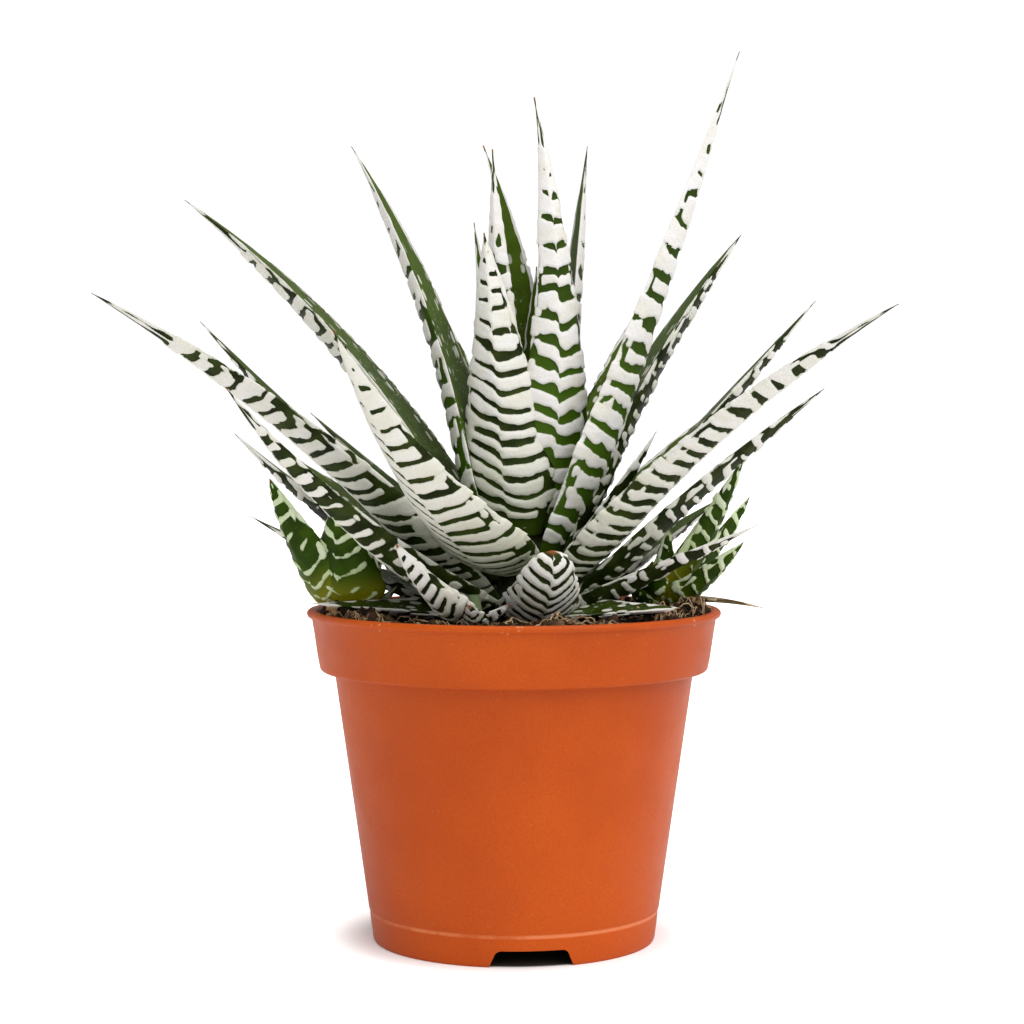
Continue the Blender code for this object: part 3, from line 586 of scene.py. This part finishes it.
def bandDistance(look, leaf, x, run, half, seed):
    # mm from each point of the back to the edge of its white band, positive inside the band
    share = run / leaf["length"]
    across, away = x * half, np.abs(x)
    waves = bandWaves
    leftSide = x < 0
    rhythm = bandRhythm(look, leaf, x, run, half, seed)
    row = rhythm[0]
    luck = np.random.default_rng(seed + 2).random((96, 6))[row.astype(int) % 96]
    merge = look["merge"] * smoothStep(look["mergeFrom"], look["mergeFrom"] + 0.22, share)
    lower, upper = bandEdges(look, x, run, half, seed, rhythm, share, merge, luck)
    band = softMin(lower, upper, 0.5)
    # some bands run into the margin, the others end short of it in a round end
    chance = np.where(leftSide, luck[..., 0], luck[..., 1])
    reach = np.where(leftSide, look["reach"][0], look["reach"][1]) + 0.5 * merge
    end = np.where(chance < reach, 1.25, 0.74 + 0.18 * luck[..., 3])
    band = softMin(band, (end - away) * half * 1.2, 0.7)
    breaks = valueNoise(seed + 7, across / waves["breaks"] + row * 11.3, row * 5.9)
    band = softMin(band, (breaks + 0.25 + look["solid"] + merge) * 1.5, 0.6)
    # loose tubercles between the band ends and the margin
    beads = valueNoise(seed + 8, across / waves["beads"][0], run / waves["beads"][1]) - 0.30
    outer = smoothStep(0.62, 0.80, away) * (1 - smoothStep(0.93, 0.97, away))
    band = softMax(band, beads * 1.6 * outer - 0.4 * (1 - outer), 0.15)
    # higher up the bands run together along the keel and the margins
    ragged = 0.30 * valueNoise(seed + 9, across / waves["ragged"][0], run / waves["ragged"][1])
    keel = 2.0 * (0.75 * merge - np.abs(across) * 0.8 + ragged - 0.25)
    rim = 2.0 * ((away - 1.0) * half + 1.6 * merge * np.where(leftSide, 1.0, 0.8) + ragged - 0.4)
    band = softMax(band, softMax(keel, rim, 0.3), 0.4)
    # a slim blade has steeper edges between its bands
    band = band * (1 + 2.5 * smoothStep(4.5, 1.5, half))
    # only thin lines beside the keel and the margins reach the tip, and the root is plain
    bare = smoothStep(look["plainFrom"], look["plainFrom"] + 0.06, share)
    side = np.where(leftSide, 7.0, 23.0)
    streak = (0.13 - np.abs(away - 0.5)) * half
    streak = streak + 0.12 * valueNoise(seed + 10, side, run / waves["streak"])
    band = band * (1 - bare) + bare * np.clip(streak * 5.0, -1.0, 1.0)
    band = band - 2.0 * smoothStep(0.96, 0.99, share)
    band = band - 1.4 * smoothStep(0.07, 0.0, share)
    return band


def marginLine(look, x, share, run, half, onBack, seed):
    # a white line along each margin, on both faces
    inward = (1 - np.abs(x)) * half
    comesAndGoes = 0.35 + 0.9 * valueNoise(seed + 14, np.sign(x) * 9, run / 2.4)
    width = leafMesh["edgeLine"] * look["edge"]
    line = width * np.where(onBack, comesAndGoes, comesAndGoes + 0.25) - inward
    return line - 0.9 * smoothStep(0.10, 0.0, share) - 0.5 * smoothStep(0.97, 1.0, share)


def paintBlade(mesh, leaf, look, x, share, run, half, onBack, band, uvRow):
    # the values that the leaf's skin reads, and its UV map
    fit = leafMesh
    nearRoot = smoothStep(0.55, 0.0, share)
    withered = smoothStep(leaf["length"] - fit["tipLength"], leaf["length"] - 0.2, run)
    layers = dict(
        band=band,
        inner=np.where(onBack, 0.0, 1.0),
        fresh=np.clip(look["fresh"] * (0.35 + 1.3 * nearRoot), 0, 1),
        # greyer towards the root: the leaf's age plus painted shade
        ageAndShade=np.clip(look["ageAndShade"] * (0.6 + 1.2 * nearRoot), 0, 1),
        root=smoothStep(fit["rootFade"] * look["paleRoot"], 0.0, share) * 0.8,
        tip=withered * smoothStep(0.9, 0.45, half),
        across=np.abs(x),
        upper=share,
        dots=np.full(len(share), look["dots"]))
    for name, values in layers.items():
        writeLayer(mesh, name, values)
    # the map lays the back and the inner face side by side, at true size
    u = np.where(onBack, fit["backU"] - x * half / uvSpan, fit["innerU"] + x * half / uvSpan)
    v = fit["footV"] + run / uvSpan + uvRow
    corners = np.empty(len(mesh.loops), dtype=int)
    mesh.loops.foreach_get("vertex_index", corners)
    mesh.uv_layers["UVMap"].data.foreach_set("uv", np.stack([u[corners], v[corners]], 1).ravel())


def growBlade(leaf, look, seed, hidden=False, uvRow=0.0):
    # one leaf as a closed shell, with its bands both as relief and as a value for the material
    fit, shape = leafMesh, leafShape
    backSteps = fit["hiddenBackSteps"] if hidden else fit["backSteps"]
    innerSteps = fit["hiddenInnerSteps"] if hidden else fit["innerSteps"]
    rings = round(leaf["length"] / (fit["hiddenStep"] if hidden else fit["step"]))
    if leaf["width"] < fit["slimWidth"]:
        backSteps, innerSteps = round(backSteps * 0.6), round(innerSteps * 0.6)
    steps = backSteps + innerSteps
    mesh, aroundShare, share = gridMesh(leaf["name"], steps, rings)
    column = np.rint(aroundShare * steps)
    ring = np.rint(share * rings).astype(int)
    onBack = column <= backSteps
    backTurn = math.pi * column / backSteps
    x = np.where(onBack, np.cos(backTurn), -1 + 2 * (column - backSteps) / innerSteps)
    run = share * leaf["length"]
    half = halfWidthAt(leaf, share)
    margin = valueNoise(seed + 11, np.sign(x) * 5 + 11.0, run / 7.0)
    half = half * (1 + 0.025 * margin * (np.abs(x) > 0.5))
    keel = half * (shape["keelAtRoot"] + shape["keelGain"] * share)
    channel = half * (shape["channelAtRoot"] + shape["channelGain"] * share)
    crest = shape["keelSharpness"] - shape["keelSharpening"] * smoothStep(0.15, 0.6, share)
    arch = (1 - np.abs(x) ** crest).clip(0) ** shape["backFullness"]
    height = np.where(onBack, -keel * arch, channel * (1 - x * x))
    band = np.where(onBack, bandDistance(look, leaf, x, run, half, seed), -1.0)
    # relief, outwards from the middle of the section
    slim = np.minimum(1.0, half / 2.5)
    lift = fit["relief"] * smoothStep(fit["reliefFrom"], fit["reliefTo"], band) * slim
    lift = lift + fit["lumps"] * valueNoise(seed + 12, x * half / 1.1, run / 1.1) * (band > 0)
    lift = lift * np.where(onBack, 1.0, 0.0)
    awayX, awayY = x * half, height + keel * 0.45
    size = np.hypot(awayX, awayY) + 1e-9
    sideways = x * half + lift * awayX / size
    height = height + lift * awayY / size
    # fine teeth on the margins
    tooth = np.maximum(valueNoise(seed + 13, np.sign(x) * 3 + 8.0, run / fit["toothPitch"]), 0)
    edge = smoothStep(0.94, 1.0, np.abs(x)) * smoothStep(0.04, 0.12, share) * slim
    sideways = sideways + np.sign(x) * edge * fit["teeth"] * tooth
    points, sides, faces = spineOf(leaf, rings)
    place = points[ring] + sides[ring] * sideways[:, None] + faces[ring] * height[:, None]
    mesh.vertices.foreach_set("co", (place * mm).ravel())
    band = np.maximum(band, marginLine(look, x, share, run, half, onBack, seed))
    paintBlade(mesh, leaf, look, x, share, run, half, onBack, band, uvRow)
    closeShell(mesh)
    return mesh


def rootOnStem(leaf):
    shape = leafShape
    height = shape["plantBase"] + leaf["rise"]
    share = min(max((height - shape["plantBase"]) / (shape["stemTop"] - shape["plantBase"]), 0), 1)
    radius = shape["stemBaseRadius"] + (shape["stemTopRadius"] - shape["stemBaseRadius"]) * share
    reach = radius + shape["gap"] if height < shape["stemTop"] else 0.0
    return np.array([shape["stemX"], 0.0, height]) + heading(np.float64(leaf["root"])) * reach


def buildLeaves():
    triangles = 0
    for number, row in enumerate(leafTable):
        leaf = dict(zip(leafKeys, row))
        leaf["start"] = rootOnStem(leaf)
        mesh = growBlade(leaf, leafLooks[leaf["look"]], 1000 + 40 * number, "back" in leaf["name"])
        mesh.materials.append(materials["mature"])
        piece = linkObject(leaf["name"].replace("leaf_", "leafBlade_"), mesh)
        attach(piece, "root")
        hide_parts(leaf["name"])
        triangles += 2 * len(mesh.polygons)
    print("leaves grown:", len(leafTable), "with about", triangles, "triangles")


buildLeaves()


offsetTable = dict(
    offset_left=dict(centre=(-32.0, -6.0), blades=[
        (-80, 2.8, 39, -13, 31, 15.5, 30), (-24, 3.0, 26, -22, 24, 16.5, 0),
        (-105, 2.6, 50, -10, 17, 8.0, 20), (35, 2.2, 42, -20, 14, 7.5, 0),
        (100, 2.2, 62, -10, 9, 7.0, 0), (165, 2.5, 44, -8, 14, 9.0, 0),
        (-60, 5.0, 10, 0, 16, 7.0, 0)]),
    offset_right=dict(centre=(30.0, 8.0), blades=[
        (80, 3.2, 33, -6, 34, 10.0, -35), (104, 3.0, 46, -8, 29, 11.0, -35),
        (60, 2.6, 62, -14, 23, 9.5, -20), (-10, 3.0, 46, -6, 12, 8.0, 0),
        (-50, 2.5, 62, -10, 9, 7.0, 0), (165, 2.5, 50, -8, 13, 8.5, 0),
        (30, 5.0, 14, 0, 14, 6.5, 0), (92, 3.6, 84, 24, 22, 4.5, 0)]),
    offset_front=dict(centre=(-8.0, -22.5), blades=[
        (-66, 2.6, 55, -16, 21, 11.5, 12), (60, 2.0, 74, -14, 8, 5.5, 0),
        (-5, 2.2, 72, -12, 7, 5.5, 0)]),
)
offsetShape = dict(taper=0.75, rootReach=0.9, dryTilt=80, stemRadius=2.4, stemTipRadius=1.2,
                   stemTop=72.5, stemShoulder=66.0, stemFoot=58.0)


def offsetStem(centre):
    # a slim lathed core that the young leaves stand on
    shape = offsetShape
    work = lathe([(0.0, shape["stemTop"]), (shape["stemTipRadius"], shape["stemTop"]),
                  (shape["stemRadius"], shape["stemShoulder"]),
                  (shape["stemRadius"], shape["stemFoot"]), (0.0, shape["stemFoot"])], 16)
    bmesh.ops.translate(work, verts=work.verts, vec=Vector((*centre, 0.0)) * mm)
    return meshFrom(work, "stemCore")


def joinMeshes(name, meshes, slots):
    # one mesh from several, each with its material slot number
    items = []
    for number, (mesh, slot) in enumerate(zip(meshes, slots)):
        item = linkObject(f"{name}_{number}", mesh)
        for skin in ("young", "dry", "mature"):
            mesh.materials.append(materials[skin])
        mesh.polygons.foreach_set("material_index", [slot] * len(mesh.polygons))
        items.append(item)
    with bpy.context.temp_override(active_object=items[0], selected_editable_objects=items):
        bpy.ops.object.join()
    items[0].name = name
    return items[0]


def buildOffsets():
    for order, (node, offset) in enumerate(offsetTable.items()):
        meshes, slots = [offsetStem(offset["centre"])], [0]
        for number, (azimuth, rise, tilt, curl, length, width, roll) in enumerate(offset["blades"]):
            leaf = dict(name=f"{node}_{number}", azimuth=azimuth, root=azimuth, rise=rise, tilt=tilt,
                        curl=curl, sway=0, length=length, width=width, roll=roll,
                        taper=offsetShape["taper"])
            foot = np.array([*offset["centre"], leafShape["plantBase"] + rise])
            leaf["start"] = foot + heading(np.float64(azimuth)) * offsetShape["rootReach"]
            dry, front = tilt > offsetShape["dryTilt"], node == "offset_front"
            look = leafLooks["fine" if front else "spotted" if dry else "pup"]
            seed = 6000 + 700 * order + 40 * number
            meshes.append(growBlade(leaf, look, seed, uvRow=0.1 * number))
            slots.append(1 if dry else 2 if front else 0)
        piece = joinMeshes(node.replace("offset_", "offsetRosette_"), meshes, slots)
        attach(piece, "root")
        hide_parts(node)
    print("offsets grown:", len(offsetTable))


buildOffsets()


potShape = dict(
    height=68.0, lipRadius=42.5, lipHeight=1.4, bandTop=41.5, bandFoot=39.9, bandHeight=12.4,
    bandCorner=0.8, bodyTop=36.9, foot=29.0, wall=1.1, floorUnderside=3.6, floorThickness=1.2,
    steps=168, seamDepth=0.16, seamWidth=0.5,
    notchCount=3, notchFoot=16.6, notchTop=14.0, notchHeight=3.4, notchAzimuth=7.0,
    drainCount=6, drainRadius=2.6, drainCircle=17.0)


def potProfile():
    # radius and height, from the middle of the floor up the inside, over the lip and down
    pot = potShape
    bandFootHeight = pot["height"] - pot["bandHeight"]
    floorTop = pot["floorUnderside"] + pot["floorThickness"]
    lipFoot = pot["height"] - pot["lipHeight"]
    inner = pot["foot"] + (pot["bodyTop"] - pot["foot"]) * floorTop / bandFootHeight - pot["wall"]
    bodySlope = (pot["bodyTop"] - pot["foot"]) / bandFootHeight
    bandSlope = (pot["bandTop"] - pot["bandFoot"]) / (lipFoot - bandFootHeight)
    inside = [(0.0, floorTop), (inner - 0.8, floorTop), (inner - 0.15, floorTop + 0.25),
              (inner + 0.05, floorTop + 1.0),
              (pot["bodyTop"] - pot["wall"], bandFootHeight + 0.4),
               (pot["bodyTop"] - pot["wall"] + 0.5, bandFootHeight + pot["wall"]),
               (pot["bandFoot"] - pot["wall"] - 0.3, bandFootHeight + pot["wall"] + 0.05),
               (pot["bandFoot"] - pot["wall"], bandFootHeight + pot["wall"] + 0.5)]
    lip = [(pot["bandTop"] - pot["wall"], pot["height"] - 0.6)]
    for degrees in (150, 120, 90):
        angle = math.radians(degrees)
        lip.append((pot["bandTop"] - pot["wall"] + 0.55 + 0.55 * math.cos(angle),
                    pot["height"] - 0.5 + 0.5 * math.sin(angle)))
    for degrees in range(90, -91, -22):
        angle = math.radians(degrees)
        lip.append((pot["lipRadius"] - 0.6 + 0.6 * math.cos(angle),
                    lipFoot + 0.7 + 0.7 * math.sin(angle)))
    lip += [(pot["bandTop"] + 0.18, lipFoot - 0.05), (pot["bandTop"], lipFoot - 0.35)]
    band = []
    for share in (0.25, 0.5, 0.75):
        height = lipFoot - (lipFoot - bandFootHeight) * share
        band.append((pot["bandFoot"] + bandSlope * (height - bandFootHeight), height))
    corner = pot["bandCorner"]
    for degrees in range(0, -91, -18):
        angle = math.radians(degrees)
        band.append((pot["bandFoot"] - corner + corner * math.cos(angle),
                     bandFootHeight + corner + corner * math.sin(angle)))
    body = [(pot["bodyTop"] + 0.35, bandFootHeight), (pot["bodyTop"] + 0.08, bandFootHeight - 0.12),
            (pot["bodyTop"] - 0.05, bandFootHeight - 0.5)]
    for height in (46, 37, 28, 19, 11):
        body.append((pot["foot"] + bodySlope * height, height))
    seam = potSeamHeight
    for offset, depth in ((1.0, 0.0), (0.5, 0.35), (0.0, 1.0), (-0.5, 0.9), (-1.6, 0.35)):
        height = seam + offset * pot["seamWidth"]
        body.append((pot["foot"] + bodySlope * height - depth * pot["seamDepth"], height))
    body += [(pot["foot"] + bodySlope * 3.0, 3.0), (pot["foot"] + bodySlope * 0.9, 0.9),
             (pot["foot"], 0.35), (pot["foot"] - 0.2, 0.05), (pot["foot"] - 0.4, 0.0)]
    under = [(pot["foot"] - pot["wall"] + 0.3, 0.0), (pot["foot"] - pot["wall"], 0.3),
             (pot["foot"] - pot["wall"], pot["floorUnderside"] - 0.3),
             (pot["foot"] - pot["wall"] - 0.3, pot["floorUnderside"]), (0.0, pot["floorUnderside"])]
    return inside + lip + band + body + under


def addNotchTool(number):
    pot = potShape
    work = bmesh.new()
    bmesh.ops.create_cube(work, size=1.0)
    for vert in work.verts:
        high = vert.co.z > 0
        vert.co.x *= pot["notchTop"] if high else pot["notchFoot"] + 1.0
        vert.co.y *= 6.0
        vert.co.z = pot["notchHeight"] if high else -1.0
    upper = [edge for edge in work.edges if all(vert.co.z > 0 for vert in edge.verts)]
    upright = [edge for edge in upper if abs(edge.verts[0].co.y - edge.verts[1].co.y) > 1]
    bmesh.ops.bevel(work, geom=upright, offset=0.9, affect="EDGES", segments=4, profile=0.5, material=-1)
    turn = Matrix.Rotation(math.radians(pot["notchAzimuth"] + number * 360 / pot["notchCount"]), 4, "Z")
    place = turn @ Matrix.Translation((0, -(pot["foot"] - pot["wall"] / 2), 0))
    bmesh.ops.transform(work, verts=work.verts, matrix=Matrix.Scale(mm, 4) @ place)
    return work


def addDrainTool(number):
    pot = potShape
    work = bmesh.new()
    bmesh.ops.create_cone(work, cap_ends=True, segments=28, radius1=pot["drainRadius"] * mm,
                          radius2=pot["drainRadius"] * mm, depth=4 * mm)
    place = heading(np.float64(number * 360.0 / pot["drainCount"])) * pot["drainCircle"]
    bmesh.ops.translate(work, verts=work.verts, vec=Vector((place[0], place[1], 4.2)) * mm)
    return work


def buildPot():
    shell = meshFrom(lathe(potProfile(), potShape["steps"]), "potShell", smooth=False)
    piece = linkObject("potShell", shell)
    tools = [addNotchTool(number) for number in range(potShape["notchCount"])]
    tools += [addDrainTool(number) for number in range(potShape["drainCount"])]
    cutters = []
    for number, tool in enumerate(tools):
        name = f"cutter_{number}"
        cutter = linkObject(name, meshFrom(tool, name, smooth=False))
        modifier = piece.modifiers.new(f"Cut {number}", "BOOLEAN")
        modifier.operation, modifier.solver, modifier.object = "DIFFERENCE", "EXACT", cutter
        cutters.append(cutter)
    bpy.context.view_layer.update()
    graph = bpy.context.evaluated_depsgraph_get()
    solid = bpy.data.meshes.new_from_object(piece.evaluated_get(graph))
    piece.modifiers.clear()
    piece.data = solid
    for cutter in cutters:
        bpy.data.objects.remove(cutter)
    solid.materials.clear()
    solid.materials.append(materials["plastic"])
    solid.shade_smooth()
    solid.set_sharp_from_angle(angle=math.radians(40))
    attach(piece, "root")
    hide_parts("pot")
    print("pot turned:", len(solid.polygons), "faces")


buildPot()


soilShape = dict(
    around=200, along=96, topShare=0.75, level=65.6, topRadius=39.2, rimHeight=63.5,
    ledgeRadius=38.3, bodyRadius=35.3, footRadius=28.2, ledgeHeight=57.0, floor=5.1,
    lump=1.1, grit=0.5, rimRise=0.9, seed=77)
crumbShape = dict(
    count=520, heapCount=90, size=(0.35, 1.5), ring=(12.0, 38.6), limit=39.2)
fibreShape = dict(
    count=110, heapCount=14, ring=(14.0, 38.0), limit=39.0, length=(3.0, 11.0),
    radius=(0.07, 0.2), bend=1.6, steps=8, sides=5, springy=1.4, heapSpringy=2.6,
    husk=(-36.0, -9.0, 71.6), huskSize=1.25)

# x, y, radius and height of the small heaps of crumbs that the watering left against the rim
soilHeaps = [(-35.0, -9.0, 4.2, 4.4), (-29.5, -19.5, 3.6, 1.9), (34.5, -12.5, 4.6, 2.6),
             (29.0, -22.0, 3.6, 1.8), (37.0, -1.0, 3.4, 2.4), (8.0, -35.0, 3.2, 1.0)]


def soilTop(x, y):
    # uneven compost, a little higher towards the rim
    radius = np.hypot(x, y)
    lumps = valueNoise(501, x / 5.0 + 30, y / 5.0 + 30)
    lumps = lumps + 0.6 * valueNoise(502, x / 2.2 + 30, y / 2.2 + 30)
    grit = valueNoise(503, x / 0.9 + 40, y / 0.9 + 40)
    rise = soilShape["rimRise"] * smoothStep(20.0, 36.0, radius)
    for heapX, heapY, reach, tall in soilHeaps:
        rise = rise + tall * smoothStep(reach * 1.15, 0.0, np.hypot(x - heapX, y - heapY))
    uneven = soilShape["lump"] * (0.35 + 0.5 * lumps)
    return soilShape["level"] + uneven + soilShape["grit"] * grit + rise


def buildSoil():
    bed = soilShape
    mesh, turnShare, share = gridMesh("soilBed", bed["around"], bed["along"])
    angle = turnShare * 2 * math.pi
    top = share <= bed["topShare"]
    radius = np.where(top, bed["topRadius"] * share / bed["topShare"], 0.0)
    x, y = radius * np.cos(angle), radius * np.sin(angle)
    height = soilTop(x, y)
    # below the top the bed follows the inside of the pot
    below = np.clip((share - bed["topShare"]) / (1 - bed["topShare"]), 0, 1)
    outlineShare = [0.0, 0.25, 0.35, 0.8, 1.0]
    outlineRadius = [bed["topRadius"], bed["ledgeRadius"], bed["bodyRadius"], bed["footRadius"], 0.0]
    outlineHeight = [bed["rimHeight"], bed["ledgeHeight"], bed["ledgeHeight"], bed["floor"], bed["floor"]]
    radius = np.where(top, radius, np.interp(below, outlineShare, outlineRadius))
    height = np.where(top, height, np.interp(below, outlineShare, outlineHeight))
    x, y = radius * np.cos(angle), radius * np.sin(angle)
    mesh.vertices.foreach_set("co", (np.stack([x, y, height], 1) * mm).ravel())
    closeShell(mesh, fill=False)
    mesh.materials.append(materials["soil"])
    piece = linkObject("soilBed", mesh)
    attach(piece, "root")
    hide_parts("soil")


def scatterSpot(random, low, high):
    radius = math.sqrt(random.uniform((low / high) ** 2, 1.0)) * high
    angle = random.uniform(0, 2 * math.pi)
    return radius * math.cos(angle), radius * math.sin(angle)


def scatterAll(random, shape):
    # places over the whole bed, and then places on each heap
    spread = [scatterSpot(random, *shape["ring"]) for _ in range(shape["count"])]
    heaped = []
    for heapX, heapY, reach, _ in soilHeaps:
        for _ in range(shape["heapCount"]):
            awayX, awayY = scatterSpot(random, 0.3, reach)
            heaped.append((heapX + awayX, heapY + awayY))
    return spread, heaped


def soilTopAt(x, y):
    return float(soilTop(np.float64(x), np.float64(y)))


def buildCrumbs():
    random = np.random.default_rng(soilShape["seed"])
    work = bmesh.new()
    spread, heaped = scatterAll(random, crumbShape)
    spots = spread + heaped
    for x, y in spots:
        if math.hypot(x, y) > crumbShape["limit"]:
            continue
        size = random.uniform(*crumbShape["size"]) * random.uniform(0.5, 1.0)
        made = bmesh.ops.create_icosphere(work, subdivisions=1, radius=size * mm)["verts"]
        for vert in made:
            vert.co *= random.uniform(0.75, 1.25)
        stretch = Matrix.Diagonal((*random.uniform(0.6, 1.3, 3), 1.0))
        angle = random.uniform(0, 6.28)
        turn = Matrix.Rotation(angle, 4, Vector(random.uniform(-1, 1, 3)).normalized())
        place = Matrix.Translation(Vector((x, y, soilTopAt(x, y) + size * 0.25)) * mm)
        bmesh.ops.transform(work, verts=made, matrix=place @ turn @ stretch)
    mesh = meshFrom(work, "soilCrumbs")
    mesh.materials.append(materials["crumb"])
    piece = linkObject("soilCrumbs", mesh)
    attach(piece, "root")
    print("soil laid, crumbs:", len(spots))


def fibrePath(random, x, y, springy, length, turn, bend):
    # points along a fibre that wanders over the soil and lifts off it in between
    steps, limit = fibreShape["steps"], fibreShape["limit"]
    points = []
    for step in range(steps + 1):
        height = soilTopAt(x, y)
        lift = 0.15 + random.uniform(0.2, springy) * math.sin(math.pi * (step / steps))
        points.append(Vector((x, y, height + lift)))
        turn += bend / steps + random.uniform(-0.25, 0.25)
        x += math.cos(turn) * length / steps
        y += math.sin(turn) * length / steps
        reach = math.hypot(x, y)
        if reach > limit:
            x, y = x * limit / reach, y * limit / reach
    return points


def extrudeRing(work, ring):
    # a new ring grown from the last one, in the same order
    edges = [edge for edge in {edge for vert in ring for edge in vert.link_edges}
             if all(vert in ring for vert in edge.verts)]
    grown = bmesh.ops.extrude_edge_only(work, edges=edges)["geom"]
    fresh = [item for item in grown if isinstance(item, bmesh.types.BMVert)]
    return [next(other for edge in vert.link_edges
                 for other in [edge.other_vert(vert)] if other in fresh) for vert in ring]


def growFibre(work, random, x, y, springy):
    steps = fibreShape["steps"]
    length = random.uniform(*fibreShape["length"])
    turn = random.uniform(0, 2 * math.pi)
    bend = random.uniform(-fibreShape["bend"], fibreShape["bend"])
    radius = random.uniform(*fibreShape["radius"])
    ring = bmesh.ops.create_circle(work, segments=fibreShape["sides"], radius=radius * mm)["verts"]
    points = fibrePath(random, x, y, springy, length, turn, bend)
    for step, point in enumerate(points):
        ahead = points[min(step + 1, steps)] - points[max(step - 1, 0)]
        aim = ahead.to_track_quat("Z", "Y").to_matrix().to_4x4()
        place = Matrix.Translation(point * mm) @ aim
        thin = 1.0 - 0.6 * abs(2 * step / steps - 1)
        for index, vert in enumerate(ring):
            angle = 2 * math.pi * index / len(ring)
            vert.co = place @ Vector((math.cos(angle) * radius * thin * mm,
                                      math.sin(angle) * radius * thin * mm, 0))
        if step < steps:
            ring = extrudeRing(work, ring)


def buildFibres():
    # thin bent coir fibres lying on the soil, and a lump of pale husk on the left heap
    fibre = fibreShape
    random = np.random.default_rng(soilShape["seed"] + 1)
    work = bmesh.new()
    spread, heaped = scatterAll(random, fibre)
    for x, y in spread:
        growFibre(work, random, x, y, fibre["springy"])
    for x, y in heaped:
        growFibre(work, random, x, y, fibre["heapSpringy"])
    bmesh.ops.holes_fill(work, edges=[edge for edge in work.edges if edge.is_boundary], sides=0)
    husk = bmesh.ops.create_icosphere(work, subdivisions=2, radius=fibre["huskSize"] * mm)["verts"]
    for vert in husk:
        vert.co *= random.uniform(0.85, 1.12)
    bmesh.ops.translate(work, verts=husk, vec=Vector(fibre["husk"]) * mm)
    bmesh.ops.recalc_face_normals(work, faces=work.faces)
    mesh = meshFrom(work, "coirFibres")
    mesh.materials.append(materials["fibre"])
    piece = linkObject("coirFibres", mesh)
    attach(piece, "root")
    print("fibres laid:", len(spread) + len(heaped))


buildSoil()
buildCrumbs()
buildFibres()

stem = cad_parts["stem"]
stem.data.materials.clear()
stem.data.materials.append(materials["stem"])


studio = dict(
    floorSize=3.0, floorColor=(0.93, 0.93, 0.93, 1.0), paleColor=(0.95, 0.95, 0.95, 1.0),
    shadeColor=(0.05, 0.04, 0.03, 1.0), shadeRadius=(0.0285, 0.0270),
    floorGlow=0.10, seenGlow=0.45, glowRadius=(0.030, 0.042),
    worldStrength=0.62, backdropStrength=1.05, white=(1.0, 1.0, 1.0, 1.0),
    sunTurn=(33.0, 0.0, 38.0), sunSpread=75.0, sunStrength=2.9,
    cameraPlace=(-0.0004, -0.490, 0.1078), cameraPitch=-2.33, lens=83.85, sensorWidth=36.0)


def makePaper():
    # the paper is dark under the pot, and further out it glows, more so to the camera
    graph = Graph("palePaper")
    place = graph.objectPlace()
    paper = graph.mix(graph.noise(place, 3.0, 2.0), studio["floorColor"], studio["paleColor"])
    radius = graph.radius(graph.apart(place))
    paper = graph.mix(graph.span(radius, *studio["shadeRadius"]), paper, studio["shadeColor"])
    graph.surface(paper, 0.9)
    graph.shader.inputs["Emission Color"].default_value = studio["white"]
    seen = graph.add("ShaderNodeLightPath").outputs["Is Camera Ray"]
    glow = graph.timesPlus(seen, studio["seenGlow"], studio["floorGlow"])
    glow = graph.times(glow, graph.span(radius, *studio["glowRadius"]))
    graph.plug(graph.shader.inputs["Emission Strength"], glow)
    return graph.material


def layFloor():
    work = bmesh.new()
    bmesh.ops.create_grid(work, x_segments=2, y_segments=2, size=studio["floorSize"])
    floor = linkObject("studioFloor", meshFrom(work, "studioFloor", smooth=False))
    floor.data.materials.append(makePaper())


def makeWorld():
    # the backdrop itself is plain white, and lights the plant more gently
    world = bpy.data.worlds.new("softWhite")
    world.use_nodes = True
    nodes, links = world.node_tree.nodes, world.node_tree.links
    soft, plain = nodes["Background"], nodes.new("ShaderNodeBackground")
    for background, strength in ((soft, "worldStrength"), (plain, "backdropStrength")):
        background.inputs["Color"].default_value = studio["white"]
        background.inputs["Strength"].default_value = studio[strength]
    seen, blend = nodes.new("ShaderNodeLightPath"), nodes.new("ShaderNodeMixShader")
    links.new(seen.outputs["Is Camera Ray"], blend.inputs[0])
    links.new(soft.outputs[0], blend.inputs[1])
    links.new(plain.outputs[0], blend.inputs[2])
    links.new(blend.outputs[0], nodes["World Output"].inputs["Surface"])
    bpy.context.scene.world = world


def placeSun():
    light = bpy.data.lights.new("softSun", "SUN")
    light.angle = math.radians(studio["sunSpread"])
    light.energy = studio["sunStrength"]
    lamp = linkObject("softSun", light)
    lamp.rotation_euler = [math.radians(turn) for turn in studio["sunTurn"]]


def placeCamera():
    lens = bpy.data.cameras.new("camera")
    lens.lens = studio["lens"]
    lens.sensor_width = studio["sensorWidth"]
    lens.clip_start = 0.01
    camera = linkObject("camera", lens)
    camera.location = studio["cameraPlace"]
    camera.rotation_euler = (math.radians(90 + studio["cameraPitch"]), 0, 0)
    bpy.context.scene.camera = camera


layFloor()
makeWorld()
placeSun()
placeCamera()
bpy.context.scene.view_settings.view_transform = "Standard"
print("studio set")
